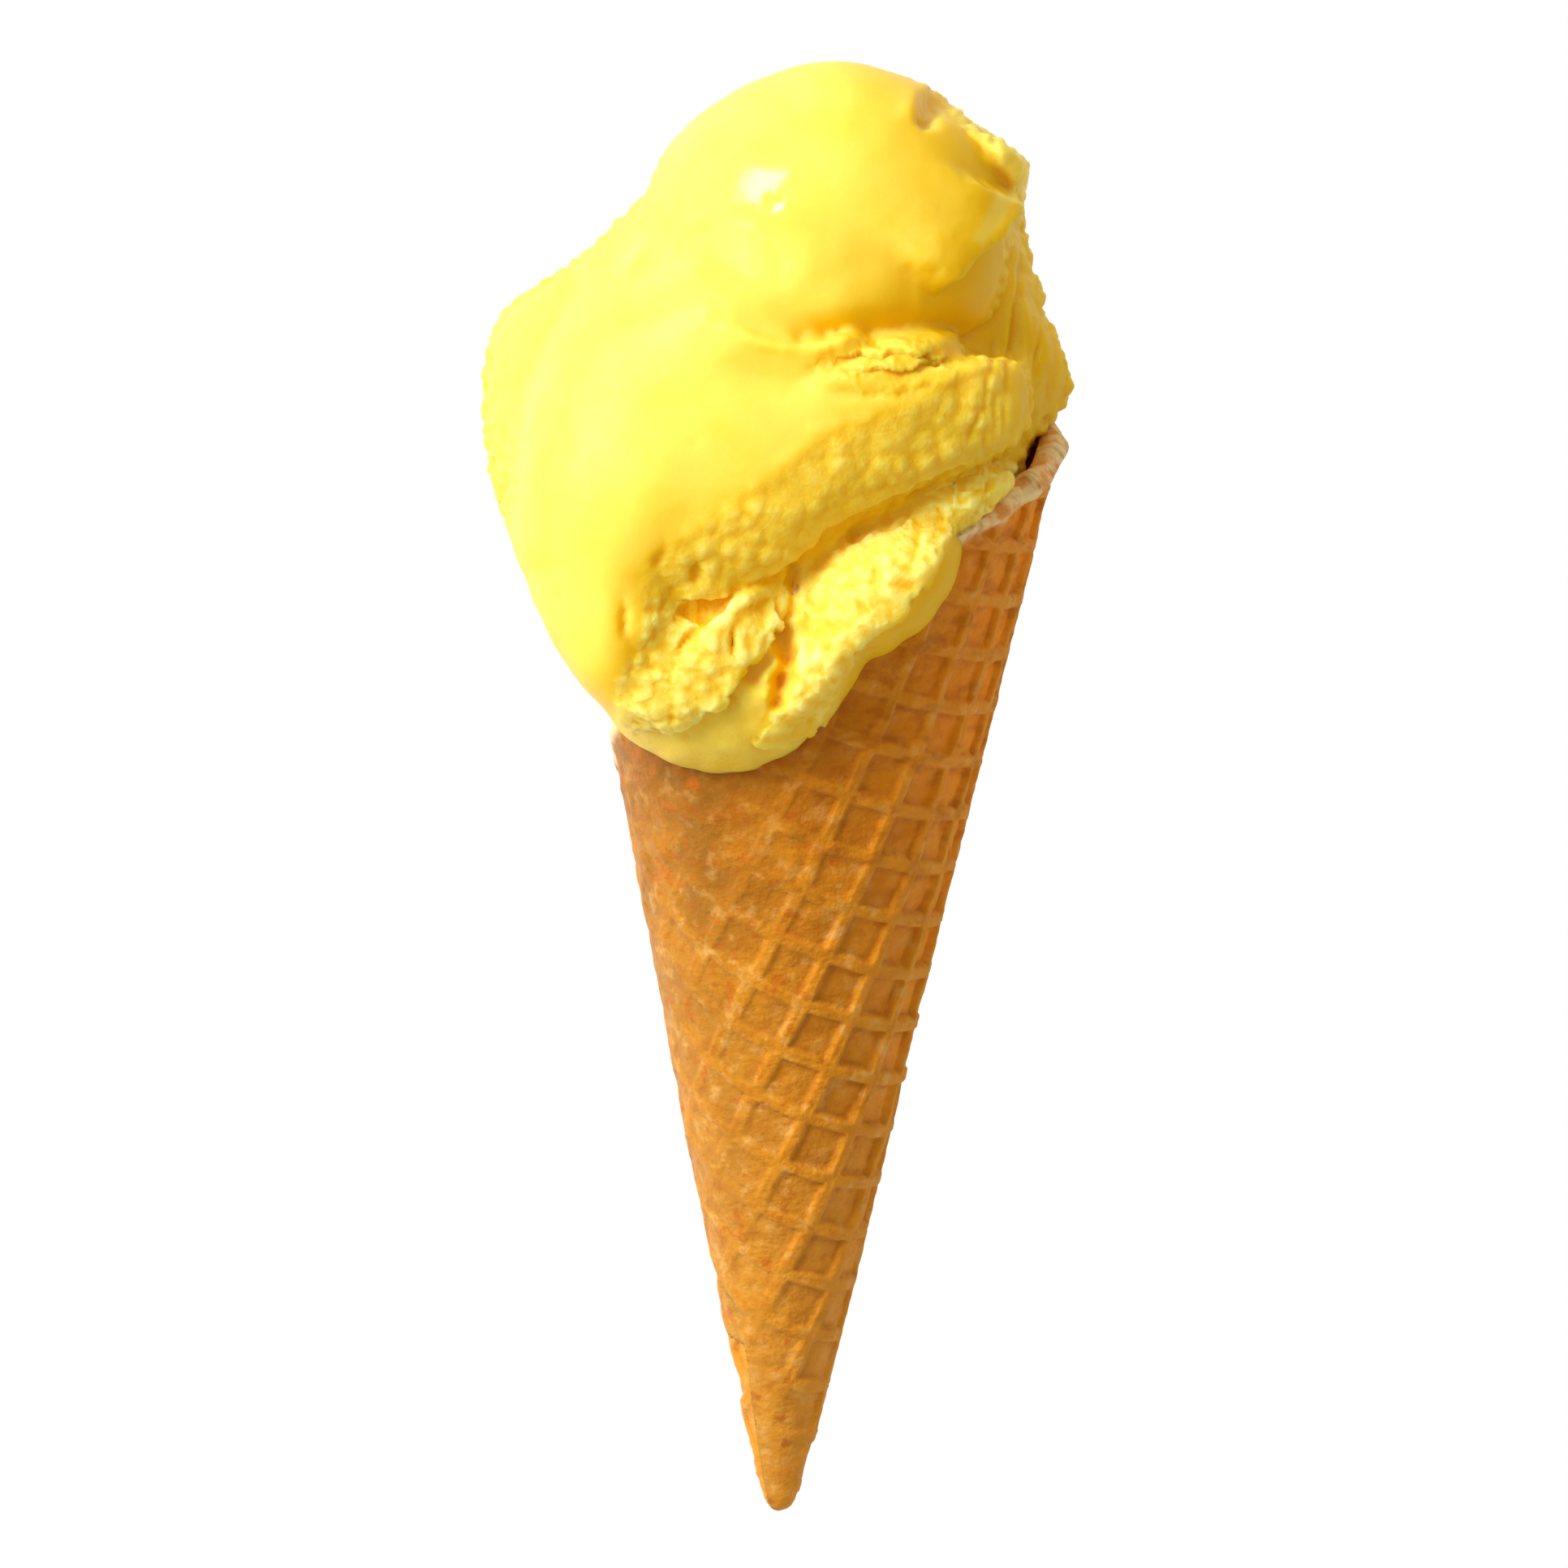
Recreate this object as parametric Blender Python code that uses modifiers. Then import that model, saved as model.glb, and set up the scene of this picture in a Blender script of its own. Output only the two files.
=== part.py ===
"""Mango sorbet in a rolled waffle cone, lying on its back with its shown side up.

Lengths are in millimetres while the pieces are made, and each piece is scaled to metres at the end.
+Z is up and the cone's tip points to -Y. The cone is worked out in its own frame, with its point at
the origin, its axis along +Y and the middle of its shown side towards +Z. An angle round the cone is
0 on the shown side and 90 on the right.
"""

import math

import bmesh
import bpy
import numpy as np
from mathutils import Matrix, Vector

METRES_PER_MM = 0.001

# How the cone lies
APEX = (-0.78, -105.6, 0.0)
TILT = math.radians(13.4)
LEAN = math.radians(1.5)

# Rolled wafer
SIN_HALF_ANGLE = 0.2117
HALF_ANGLE = math.asin(SIN_HALF_ANGLE)
WALL = 3.4
LAYER = 1.6
TIP_RADIUS = 2.1
RIM_PEAK_ANGLE = 135.8
RIM_PEAK = 157.3
RIM_ROUNDNESS = 0.85
RIM_SEAM_ANGLE = -44.0
HOLLOW_START = 22.0
AXIS_END = 172.0
CUTTER_END = 200.0
CUTTER_RADII = (14.0, 60.0)
FLAT_LEVEL = 100.0
RIM_SEGMENTS = 72
TIP_STEPS = 5

# Waffle relief, on the wafer while it is flat
RIB_PITCH = 7.4
RIB_WIDTH = 1.6
CELL_SLOPE = 0.35
CELL_DEPTH = 0.75
CORE_DEPTH = 1.55
SHEET_BOTTOM = -2.05
TIP_SINK = 0.4
GRID_TURN = math.radians(4.8)
GRID_START = (3.8, 4.3)
GRID_CELLS = 50
PLAIN_TIP = 40.0
TIP_MARGIN = 10.0
RIM_MARGIN = 17.0
SIDE_MARGIN = 0.3
STEEPEST = 1.5
SMALLEST_CELL = 0.4 * RIB_PITCH ** 2
SEAM_LAP = 0.004
NARROW_PART = 62.0
NARROW_STEP = 28.0
CONE_TRIANGLES = 8200

# Outer flap of the wafer, which wraps round the back from the left
FLAP_START = -20.0
FLAP_FLUSH = -30.0
FLAP_END = -240.0
SEAM_DIP = 1.2
SQUEEZED_TIP = 26.0
SQUEEZE_LENGTH = 34.0
FLAP_SINK = 0.35
FLAP_LIFT = 0.1
FLAP_TIP = 34.0
FLAP_STEPS = 30
FLAP_BOTTOM = -2.9
PRISM_TOP = 3.0
FLAP_TIP_MARGIN = 20.0

# Sorbet
GAP = 0.3
RIM_GAP = 1.2
FLAP_BULGE = 0.4
FLAP_BACK = -150.0
SOLID_TIP = 12.0
VOXEL = 0.8
MELT_STEPS = 6
MELT_SHARE = 0.8
LONGEST_MELT_STEP = 1.5
LEAST_STEEPNESS = 0.3
SLOPE_STEP = 0.05
CUT_ROUNDING = 2.0
TEAR_ROUNDING = 0.6
SORBET_TRIANGLES = 4500
PLUG_START = 23.0
PLUG_END = 125.0
SCOOP_SEGMENTS = 48
OUTLINE_STEPS = 720
OUTLINE_SMOOTHING = 12

# Each scoop of sorbet seen from above: its outline, the height of its widest level above the floor,
# its rise above and depth below that level, how its top leans, how boxy it is (2 is round), how far
# it melts into the scoops before it, and the flat faces cut on it, each by a point and its outward
# direction.
SCOOPS = {
    "core": {
        "outline": [(31, 48), (23, 74), (-2, 84), (-25, 72), (-34, 46), (-27, 20), (-4, 8), (22, 22)],
        "level": 40, "rise": 24, "depth": 43, "lean": (0, 0), "boxy": 2.0, "melt": 0,
    },
    "left_back": {
        "outline": [
            (-14.5, 82.5), (-17.5, 79.5), (-20, 76), (-24, 72), (-28, 69), (-32.5, 66), (-36, 62.5),
            (-38.5, 58), (-39.5, 53.5), (-39, 48.5), (-38.5, 43), (-37.5, 39), (-35, 32), (-30, 26),
            (-12, 30), (-5, 45), (-7, 70.5),
        ],
        "level": 38, "rise": 23, "depth": 26, "lean": (0.1, 0), "boxy": 2.1, "melt": 4,
    },
    "right_back": {
        "outline": [
            (19.5, 91), (23.5, 86.5), (29, 84), (31.5, 83), (32.5, 80.5), (31.5, 76), (32, 72), (33, 67),
            (35, 61.5), (37.5, 55), (38, 51), (36.5, 48), (34, 42), (29, 35.5), (19.5, 34.5), (10, 49.5),
            (9, 71), (12, 87),
        ],
        "level": 37, "rise": 18, "depth": 24, "lean": (-0.3, 0), "boxy": 2.2, "melt": 3,
    },
    "slab": {
        "outline": [
            (6.5, 52.5), (-0.5, 53.5), (-6.5, 57), (-12, 62.5), (-18, 65.5), (-24, 65), (-29, 60.5),
            (-32, 55), (-33.5, 48.5), (-34.5, 42.5), (-34.5, 36), (-33.5, 30), (-30, 25.5), (-23.5, 23),
            (-17.5, 23), (-9, 23), (-4, 24), (2.5, 27.5), (9, 33), (17, 37), (23.5, 40.5), (29.5, 44),
            (31.5, 46.5), (33, 54), (30, 60), (24, 57), (20, 52.5), (14, 50.5),
        ],
        "level": 54, "rise": 20, "depth": 26, "lean": (0, 0), "boxy": 2.8, "melt": 2,
        "cuts": [((4, 43.5, 72.5), (0.34, -0.52, 0.78)), ((21, 54, 69.5), (0.62, -0.1, 0.78))],
    },
    "slab_tail": {
        "outline": [
            (-34.5, 42.5), (-35, 34), (-33.5, 27), (-32.5, 22.5), (-30.5, 19), (-27.5, 15.5), (-22.5, 10.5),
            (-20, 12), (-20, 18.5), (-17.5, 25.5), (-12, 34), (-12, 47), (-27.5, 52),
        ],
        "level": 46, "rise": 22, "depth": 24, "lean": (0.1, 0.1), "boxy": 2.2, "melt": 12,
    },
    "right_lobe": {
        "outline": [
            (0.8, 24), (2.5, 28.8), (9, 32.5), (15, 34.5), (20.5, 34), (23, 31.5), (22.5, 28), (20, 23),
            (15.5, 18.5), (11, 16), (7.5, 13.5), (3.5, 12), (1, 17.5),
        ],
        "level": 55, "rise": 10, "depth": 20, "lean": (-0.35, 0.1), "boxy": 2.3, "melt": 2.5,
    },
    "left_lobe": {
        "outline": [
            (-21.5, 20.5), (-17.5, 24), (-9, 23.5), (-2.5, 24.5), (1.5, 27.5), (1, 20.5), (-1, 14), (-4, 9),
            (-11, 7), (-17.5, 7), (-21, 8.5), (-23, 11.5), (-23, 16.5),
        ],
        "level": 53, "rise": 10, "depth": 20, "lean": (0.35, 0.15), "boxy": 2.4, "melt": 2.5,
    },
    "low_lobe": {
        "outline": [
            (-22.5, 10.5), (-21, 6.5), (-17, 4), (-11.5, 2), (-7, 1.5), (-1.5, 3), (3.5, 6), (6.5, 9),
            (7.5, 12), (4.5, 15.5), (-2.5, 17.5), (-12, 17), (-19.5, 14.5),
        ],
        "level": 51, "rise": 10, "depth": 16, "lean": (0.2, 0.2), "boxy": 2.3, "melt": 1,
    },
    "ball": {
        "outline": [
            (-2, 92.5), (-8.5, 89.5), (-13, 86), (-16, 82), (-17.5, 77), (-18, 72), (-16.5, 66), (-13, 61.5),
            (-7, 58), (3.5, 55.5), (14, 55), (21.5, 56), (27, 59), (29, 65), (29.5, 71.5), (29, 77.5),
            (27, 82), (23.5, 86), (19.5, 89.5), (14, 92), (6, 93.5),
        ],
        "level": 49, "rise": 23, "depth": 27, "lean": (0, 0), "boxy": 2.1, "melt": 1,
    },
    "ledge": {
        "outline": [
            (-8.5, 58.5), (-3.5, 58), (8, 57.5), (14, 57.5), (20, 56), (23, 54), (20.5, 50.5), (14, 48.5),
            (6.5, 49), (-0.5, 50.5), (-6.5, 53.5),
        ],
        "level": 64, "rise": 7, "depth": 14, "lean": (-0.1, -0.2), "boxy": 2.6, "melt": 1,
    },
}

# Torn places: the route of each seen from above, as points with half the width there, and how many
# times deeper than half its width it is.
TEARS = {
    "slit": {"route": [(-19.8, 24, 0.5), (-20.1, 20, 1.1), (-19, 16, 0.5)], "deep": 3.0},
    "hole": {"route": [(0.8, 23, 0.5), (0.3, 20.5, 0.9), (-0.3, 16.5, 2.0), (-1.4, 10, 0.4)], "deep": 2.0},
    "pocket": {"route": [(-13.3, 18, 0.9), (-11.8, 21, 0.9)], "deep": 1.5},
    "notch": {"route": [(19.5, 89.5, 1.2), (18, 85, 0.9)], "deep": 1.5},
}

# Where the top of the scoops is looked for
HIGHEST = 80.0
LOWEST = 20.0
HEIGHT_STEP = 0.5


def clear_scene():
    for obj in list(bpy.data.objects):
        bpy.data.objects.remove(obj, do_unlink=True)


def make_collection(name):
    collection = bpy.data.collections.new(name)
    bpy.context.scene.collection.children.link(collection)
    return collection


def make_object(bm, name, collection):
    mesh = bpy.data.meshes.new(name)
    bm.to_mesh(mesh)
    bm.free()
    obj = bpy.data.objects.new(name, mesh)
    collection.objects.link(obj)
    return obj


def face_outwards(bm):
    """Turns every face of a closed body outwards, also on a rolled sheet, where the ends mislead."""
    bmesh.ops.recalc_face_normals(bm, faces=bm.faces)
    if bm.calc_volume(signed=True) < 0:
        bmesh.ops.reverse_faces(bm, faces=bm.faces)


def evaluated_mesh(obj):
    """The mesh that an object's modifiers give."""
    graph = bpy.context.evaluated_depsgraph_get()
    return bpy.data.meshes.new_from_object(obj.evaluated_get(graph))


def apply_modifiers(obj):
    result = evaluated_mesh(obj)
    obj.modifiers.clear()
    obj.data = result


def combine(obj, other, operation):
    """Joins another closed body to an object or cuts it away, and removes the other one.

    The rolled relief has thousands of nearly flush faces, on which the exact solver fails.
    """
    modifier = obj.modifiers.new(operation.title(), "BOOLEAN")
    modifier.operation = operation
    modifier.solver = "MANIFOLD"
    modifier.object = other
    apply_modifiers(obj)
    bpy.data.objects.remove(other, do_unlink=True)


def rim_height(angle):
    """Distance along the axis to the rim, from the round edge of the wafer."""
    flat_angle = math.radians((RIM_PEAK_ANGLE - full_turn(angle)) * SIN_HALF_ANGLE)
    return RIM_PEAK * math.cos(flat_angle) ** RIM_ROUNDNESS


def on_cone(distance, flat_angle, height):
    """A point of the flat wafer, rolled up: height is measured outwards from the cone's surface."""
    angle = math.radians(RIM_PEAK_ANGLE) - flat_angle / SIN_HALF_ANGLE
    along = distance * math.cos(HALF_ANGLE) - height * SIN_HALF_ANGLE
    radius = distance * SIN_HALF_ANGLE + height * math.cos(HALF_ANGLE)
    return Vector((radius * math.sin(angle), along, radius * math.cos(angle)))


def turned_body(profile, name, collection, segments=48):
    """A closed body from (distance along the axis, radius) points that start and end on the axis."""
    bm = bmesh.new()
    verts = [bm.verts.new((0.0, along, radius)) for along, radius in profile]
    edges = [bm.edges.new(pair) for pair in zip(verts, verts[1:])]
    bmesh.ops.spin(
        bm, geom=verts + edges, cent=(0, 0, 0), axis=(0, 1, 0),
        angle=math.tau, steps=segments, use_merge=True,
    )
    bmesh.ops.remove_doubles(bm, verts=bm.verts, dist=0.0001)
    face_outwards(bm)
    return make_object(bm, name, collection)


def cone_radius(along, offset):
    return along * math.tan(HALF_ANGLE) + offset / math.cos(HALF_ANGLE)


def tip_profile():
    """The rounded tip, from the axis to where it meets the straight side."""
    middle = TIP_RADIUS / SIN_HALF_ANGLE
    points = []
    for step in range(TIP_STEPS + 1):
        turn = -math.pi / 2 + (math.pi / 2 - HALF_ANGLE) * step / TIP_STEPS
        points.append((middle + TIP_RADIUS * math.sin(turn), TIP_RADIUS * math.cos(turn)))
    return points


def core_cone(collection):
    """The wafer below its relief, plain at the tip."""
    step_end = PLAIN_TIP + 0.5
    profile = tip_profile()
    profile.append((PLAIN_TIP, cone_radius(PLAIN_TIP, -TIP_SINK)))
    profile.append((step_end, cone_radius(step_end, -CORE_DEPTH)))
    profile.append((AXIS_END, cone_radius(AXIS_END, -CORE_DEPTH)))
    profile.append((AXIS_END, 0.0))
    core = turned_body(profile, "core", collection)
    push_out(core, lambda angle, along: layer_rise(full_turn(angle), along))
    return core


def hollow_cone(collection, clearance=0.0):
    """The space inside the wafer, which the sorbet fills."""
    start = HOLLOW_START + 2 * clearance
    offset = -WALL - clearance
    profile = [(start, 0.0), (start, cone_radius(start, offset))]
    profile += [(CUTTER_END, cone_radius(CUTTER_END, offset)), (CUTTER_END, 0.0)]
    return turned_body(profile, "hollow", collection)


def rim_cutter(collection, clearance=0.0):
    """Everything beyond the wafer's rim."""
    profile = [(FLAT_LEVEL, 0.0)] + [(FLAT_LEVEL, radius) for radius in CUTTER_RADII]
    profile += [(CUTTER_END, CUTTER_RADII[-1]), (CUTTER_END, 0.0)]
    cutter = turned_body(profile, "rim_cutter", collection, segments=RIM_SEGMENTS)
    for vert in cutter.data.vertices:
        if abs(vert.co.y - FLAT_LEVEL) < 0.01:
            angle = math.degrees(math.atan2(vert.co.x, vert.co.z))
            vert.co.y = rim_height(angle) + clearance
    return cutter


def smooth_wall(collection, clearance):
    """The whole wall without its relief, thicker by the clearance all over, that the sorbet is cut by."""
    profile = [(SOLID_TIP, 0.0), (SOLID_TIP, cone_radius(SOLID_TIP, clearance))]
    profile += [(AXIS_END, cone_radius(AXIS_END, clearance)), (AXIS_END, 0.0)]
    wall = turned_body(profile, "smooth_wall", collection, segments=RIM_SEGMENTS)
    push_out(wall, lambda angle, along: FLAP_BULGE if FLAP_BACK < angle < RIM_SEAM_ANGLE else 0.0)
    combine(wall, rim_cutter(collection, RIM_GAP), "DIFFERENCE")
    combine(wall, hollow_cone(collection, clearance), "DIFFERENCE")
    return wall


def layer_rise(angle, distance):
    """How far the rolled wafer stands off the cone: it gains its own thickness with each turn."""
    near_tip = min(max((distance - SQUEEZED_TIP) / SQUEEZE_LENGTH, 0.0), 1.0)
    return -LAYER * near_tip * (angle - RIM_SEAM_ANGLE) / 360


def wafer_rise(angle, distance):
    """The full turn's end dips under the flap."""
    dipped = max(FLAP_FLUSH - angle, 0.0) / (FLAP_FLUSH - RIM_SEAM_ANGLE)
    return layer_rise(angle, distance) - SEAM_DIP * dipped


def flap_rise(angle, distance):
    """The flap comes up out of the full turn just before the seam that it covers."""
    sunk = max(angle - FLAP_FLUSH, 0.0) / (FLAP_START - FLAP_FLUSH)
    return layer_rise(angle, distance) + FLAP_LIFT - FLAP_SINK * sunk


def full_turn(angle):
    """The angle between the seam and one turn on from it."""
    return (angle - RIM_SEAM_ANGLE) % 360 + RIM_SEAM_ANGLE


def push_out(obj, rise):
    """Moves each point of a turned body out from the axis by what rise gives for its angle."""
    for vert in obj.data.vertices:
        if math.hypot(vert.co.x, vert.co.z) > 0.5:
            angle = math.atan2(vert.co.x, vert.co.z)
            outwards = rise(math.degrees(angle), vert.co.y)
            vert.co.x += outwards * math.sin(angle)
            vert.co.z += outwards * math.cos(angle)


def waffle_grid(keep_cell):
    """Flat square cells between ribs, with each cell that is kept pressed in."""
    bm = bmesh.new()
    bmesh.ops.create_grid(
        bm, x_segments=GRID_CELLS, y_segments=GRID_CELLS, size=GRID_CELLS * RIB_PITCH / 2,
    )
    bmesh.ops.translate(bm, verts=bm.verts, vec=(*GRID_START, 0))
    bmesh.ops.rotate(bm, verts=bm.verts, cent=(0, 0, 0), matrix=Matrix.Rotation(-GRID_TURN, 3, "Z"))
    unused = [face for face in bm.faces if not keep_cell(face.calc_center_median())]
    bmesh.ops.delete(bm, geom=unused, context="FACES")
    return bm


def cut_sector(bm, low, high):
    """Cuts the flat wafer along two straight lines through its point, at these angles from +Y."""
    for flat_angle, side in ((low, -1), (high, 1)):
        normal = Vector((math.cos(flat_angle), -math.sin(flat_angle), 0)) * side
        bmesh.ops.bisect_plane(
            bm, geom=bm.verts[:] + bm.edges[:] + bm.faces[:], dist=0.0001,
            plane_co=(0, 0, 0), plane_no=normal, clear_outer=True,
        )


def press_cells(bm):
    """Presses the cells in between ribs; a cell that is cut too small stays level."""
    cells = [face for face in bm.faces if face.calc_area() > SMALLEST_CELL]
    for thickness in (RIB_WIDTH / 2, CELL_SLOPE):
        bmesh.ops.inset_individual(bm, faces=cells, thickness=thickness, depth=0.0, use_even_offset=True)
    sunk = {vert for face in cells for vert in face.verts}
    bmesh.ops.translate(bm, verts=list(sunk), vec=(0, 0, -CELL_DEPTH))


def bend_lines(bm):
    """Adds lines from the point outwards where the wafer is rolled tightly, so that it can bend there."""
    step = math.radians(NARROW_STEP) * SIN_HALF_ANGLE
    turn = -math.pi / 2
    while turn < math.pi / 2:
        near = [face for face in bm.faces if face.calc_center_median().xy.length < NARROW_PART]
        geom = set(near)
        for face in near:
            geom.update(face.verts)
            geom.update(face.edges)
        bmesh.ops.bisect_plane(
            bm, geom=list(geom), dist=0.01, plane_co=(0, 0, 0),
            plane_no=(math.cos(turn), -math.sin(turn), 0),
        )
        turn += step


def give_thickness(bm, bottom):
    """Closes the flat relief with sides and a level underside."""
    made = bmesh.ops.extrude_face_region(bm, geom=bm.faces[:])
    for item in made["geom"]:
        if isinstance(item, bmesh.types.BMVert):
            item.co.z = bottom


def flat_turn(angle):
    """The flat wafer's angle from the rim's peak, for an angle round the cone."""
    return math.radians((RIM_PEAK_ANGLE - angle) * SIN_HALF_ANGLE)


def roll_up(bm, height_above):
    """Rolls the flat sheet onto the cone, with each point's height from its own flat height."""
    bmesh.ops.triangulate(bm, faces=bm.faces)
    for vert in bm.verts:
        distance = vert.co.xy.length
        flat_angle = math.atan2(vert.co.x, vert.co.y)
        angle = RIM_PEAK_ANGLE - math.degrees(flat_angle) / SIN_HALF_ANGLE
        vert.co = on_cone(distance, flat_angle, height_above(vert.co.z, angle, distance))
    face_outwards(bm)


def near_wafer(middle, start, end):
    """Whether a cell of the flat grid is in the wafer, or so near that its edge cuts the cell."""
    distance = middle.xy.length
    flat_angle = math.atan2(middle.x, middle.y)
    reach = RIM_PEAK * math.cos(min(abs(flat_angle), STEEPEST)) ** RIM_ROUNDNESS + RIM_MARGIN
    return distance < reach and start - SIDE_MARGIN < flat_angle < end + SIDE_MARGIN


def wafer_sheet(collection):
    """The wafer's full turn, closed under the flap."""
    half_turn = flat_turn(RIM_SEAM_ANGLE) - SEAM_LAP

    def keep_cell(middle):
        return middle.xy.length > PLAIN_TIP - TIP_MARGIN and near_wafer(middle, -half_turn, half_turn)

    bm = waffle_grid(keep_cell)
    cut_sector(bm, -half_turn, half_turn)
    press_cells(bm)
    bend_lines(bm)
    give_thickness(bm, SHEET_BOTTOM)
    roll_up(bm, lambda level, angle, distance: level + wafer_rise(angle, distance))
    return make_object(bm, "wafer", collection)


def flap_outline():
    """The flap's edge on the flat wafer: the round edge, then back round near the point."""
    start, end = flat_turn(FLAP_START), flat_turn(FLAP_END)
    turns = [start + (end - start) * step / FLAP_STEPS for step in range(FLAP_STEPS + 1)]
    outline = []
    for turn in turns:
        distance = RIM_PEAK / math.cos(HALF_ANGLE) * math.cos(turn) ** RIM_ROUNDNESS
        outline.append((distance * math.sin(turn), distance * math.cos(turn)))
    for turn in reversed(turns[::3]):
        outline.append((FLAP_TIP * math.sin(turn), FLAP_TIP * math.cos(turn)))
    return outline


def flap_sheet(cutters):
    """The outer layer, which rises from the front and wraps round the back."""
    start, end = flat_turn(FLAP_START), flat_turn(FLAP_END)

    def keep_cell(middle):
        return middle.xy.length > FLAP_TIP - FLAP_TIP_MARGIN and near_wafer(middle, start, end)

    def flap_height(level, angle, distance):
        return FLAP_BOTTOM if level < SHEET_BOTTOM + 0.01 else level + flap_rise(angle, distance)

    bm = waffle_grid(keep_cell)
    press_cells(bm)
    give_thickness(bm, SHEET_BOTTOM)
    face_outwards(bm)
    flap = make_object(bm, "flap", cutters)
    combine(flap, flat_prism(flap_outline(), 2 * SHEET_BOTTOM, PRISM_TOP, cutters), "INTERSECT")
    bm = bmesh.new()
    bm.from_mesh(flap.data)
    bend_lines(bm)
    roll_up(bm, flap_height)
    bm.to_mesh(flap.data)
    bm.free()
    return flap


def flat_prism(outline, low, high, collection):
    bm = bmesh.new()
    face = bm.faces.new([bm.verts.new((x, y, low)) for x, y in outline])
    made = bmesh.ops.extrude_face_region(bm, geom=[face])
    top = [item for item in made["geom"] if isinstance(item, bmesh.types.BMVert)]
    bmesh.ops.translate(bm, verts=top, vec=(0, 0, high - low))
    face_outwards(bm)
    return make_object(bm, "prism", collection)


def cone_placement():
    turn = Matrix.Rotation(-LEAN, 4, "Z") @ Matrix.Rotation(TILT, 4, "X")
    return Matrix.Translation(APEX) @ turn


def thin_out(obj, triangles):
    """Brings a body down to about this many triangles, flattest places first."""
    present = sum(len(polygon.vertices) - 2 for polygon in obj.data.polygons)
    modifier = obj.modifiers.new("Decimate", "DECIMATE")
    modifier.ratio = triangles / present
    apply_modifiers(obj)


def make_cone(parts, cutters):
    cone = core_cone(parts)
    cone.name = "waffle_cone"
    combine(cone, wafer_sheet(cutters), "UNION")
    combine(cone, rim_cutter(cutters), "DIFFERENCE")
    combine(cone, flap_sheet(cutters), "UNION")
    combine(cone, hollow_cone(cutters), "DIFFERENCE")
    thin_out(cone, CONE_TRIANGLES)
    cone.data.transform(cone_placement())
    return cone


def outline_table(outline):
    """The middle of an outline, and its distance from there for every half degree, smoothed."""
    points = np.array(outline, float)
    middle = points.mean(axis=0)
    across = points - middle
    angles = np.arctan2(across[:, 1], across[:, 0])
    order = np.argsort(angles)
    angles, radii = angles[order], np.hypot(across[:, 0], across[:, 1])[order]
    turns = np.linspace(-math.pi, math.pi, OUTLINE_STEPS + 1)
    table = np.interp(turns, angles, radii, period=math.tau)
    half = OUTLINE_SMOOTHING
    smoothing = np.hanning(2 * half + 1)
    smoothing /= smoothing.sum()
    looped = np.concatenate([table[-half - 1:-1], table, table[1:half + 1]])
    return middle, turns, np.convolve(looped, smoothing, mode="valid")


def scoop_distance(points, outline, level, rise, depth, lean, boxy):
    """About how far points lie outside a scoop, along the line from its middle."""
    middle, turns, table = outline_table(outline)
    x = points[:, 0] - middle[0]
    y = points[:, 1] - middle[1]
    z = points[:, 2] - level - lean[0] * x - lean[1] * y
    across = np.hypot(x, y) / np.interp(np.arctan2(y, x), turns, table)
    up = np.abs(z) / np.where(z > 0, rise, depth)
    share = np.maximum((across ** boxy + up ** boxy) ** (1 / boxy), 0.05)
    return np.sqrt(x * x + y * y + z * z) * (1 - 1 / share)


def soft_union(first, second, melt):
    if melt == 0:
        return np.minimum(first, second)
    share = np.clip(0.5 + 0.5 * (second - first) / melt, 0, 1)
    return second + (first - second) * share - melt * share * (1 - share)


def surface_height(x, y):
    """How high the scoops' top is at a place seen from above."""
    heights = np.arange(HIGHEST, LOWEST, -HEIGHT_STEP)
    places = np.stack([np.full(len(heights), x), np.full(len(heights), y), heights], axis=1)
    return heights[np.argmax(scoops_distance(places) < 0)]


def tear_distance(points, route, deep):
    """About how far points lie outside a groove whose middle runs along the scoops' top."""
    flatten = np.array((1, 1, 1 / deep))
    middles = [np.array((x, y, surface_height(x, y))) * flatten for x, y, _ in route]
    widths = [half_width for _, _, half_width in route]
    flat_points = points * flatten
    nearest = np.full(len(points), 1000.0)
    for start, end, start_width, end_width in zip(middles, middles[1:], widths, widths[1:]):
        along = end - start
        share = np.clip((flat_points - start) @ along / (along @ along), 0, 1)
        gap = np.linalg.norm(flat_points - start - share[:, None] * along, axis=1)
        nearest = np.minimum(nearest, gap - start_width - (end_width - start_width) * share)
    return nearest


def sorbet_distance(points):
    """About how far points lie outside the torn scoops."""
    distance = scoops_distance(points)
    for tear in TEARS.values():
        distance = -soft_union(-distance, tear_distance(points, **tear), TEAR_ROUNDING)
    return distance


def scoop_shape(scoop):
    """A scoop's values without how it joins the others."""
    return {name: value for name, value in scoop.items() if name not in ("melt", "cuts")}


def scoops_distance(points):
    """About how far points lie outside all the scoops together."""
    together = np.full(len(points), 1000.0)
    for scoop in SCOOPS.values():
        distance = scoop_distance(points, **scoop_shape(scoop))
        for place, outward in scoop.get("cuts", []):
            beyond = (points - np.array(place)) @ np.array(outward)
            distance = -soft_union(-distance, -beyond, CUT_ROUNDING)
        together = soft_union(together, distance, scoop["melt"])
    return together


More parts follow.
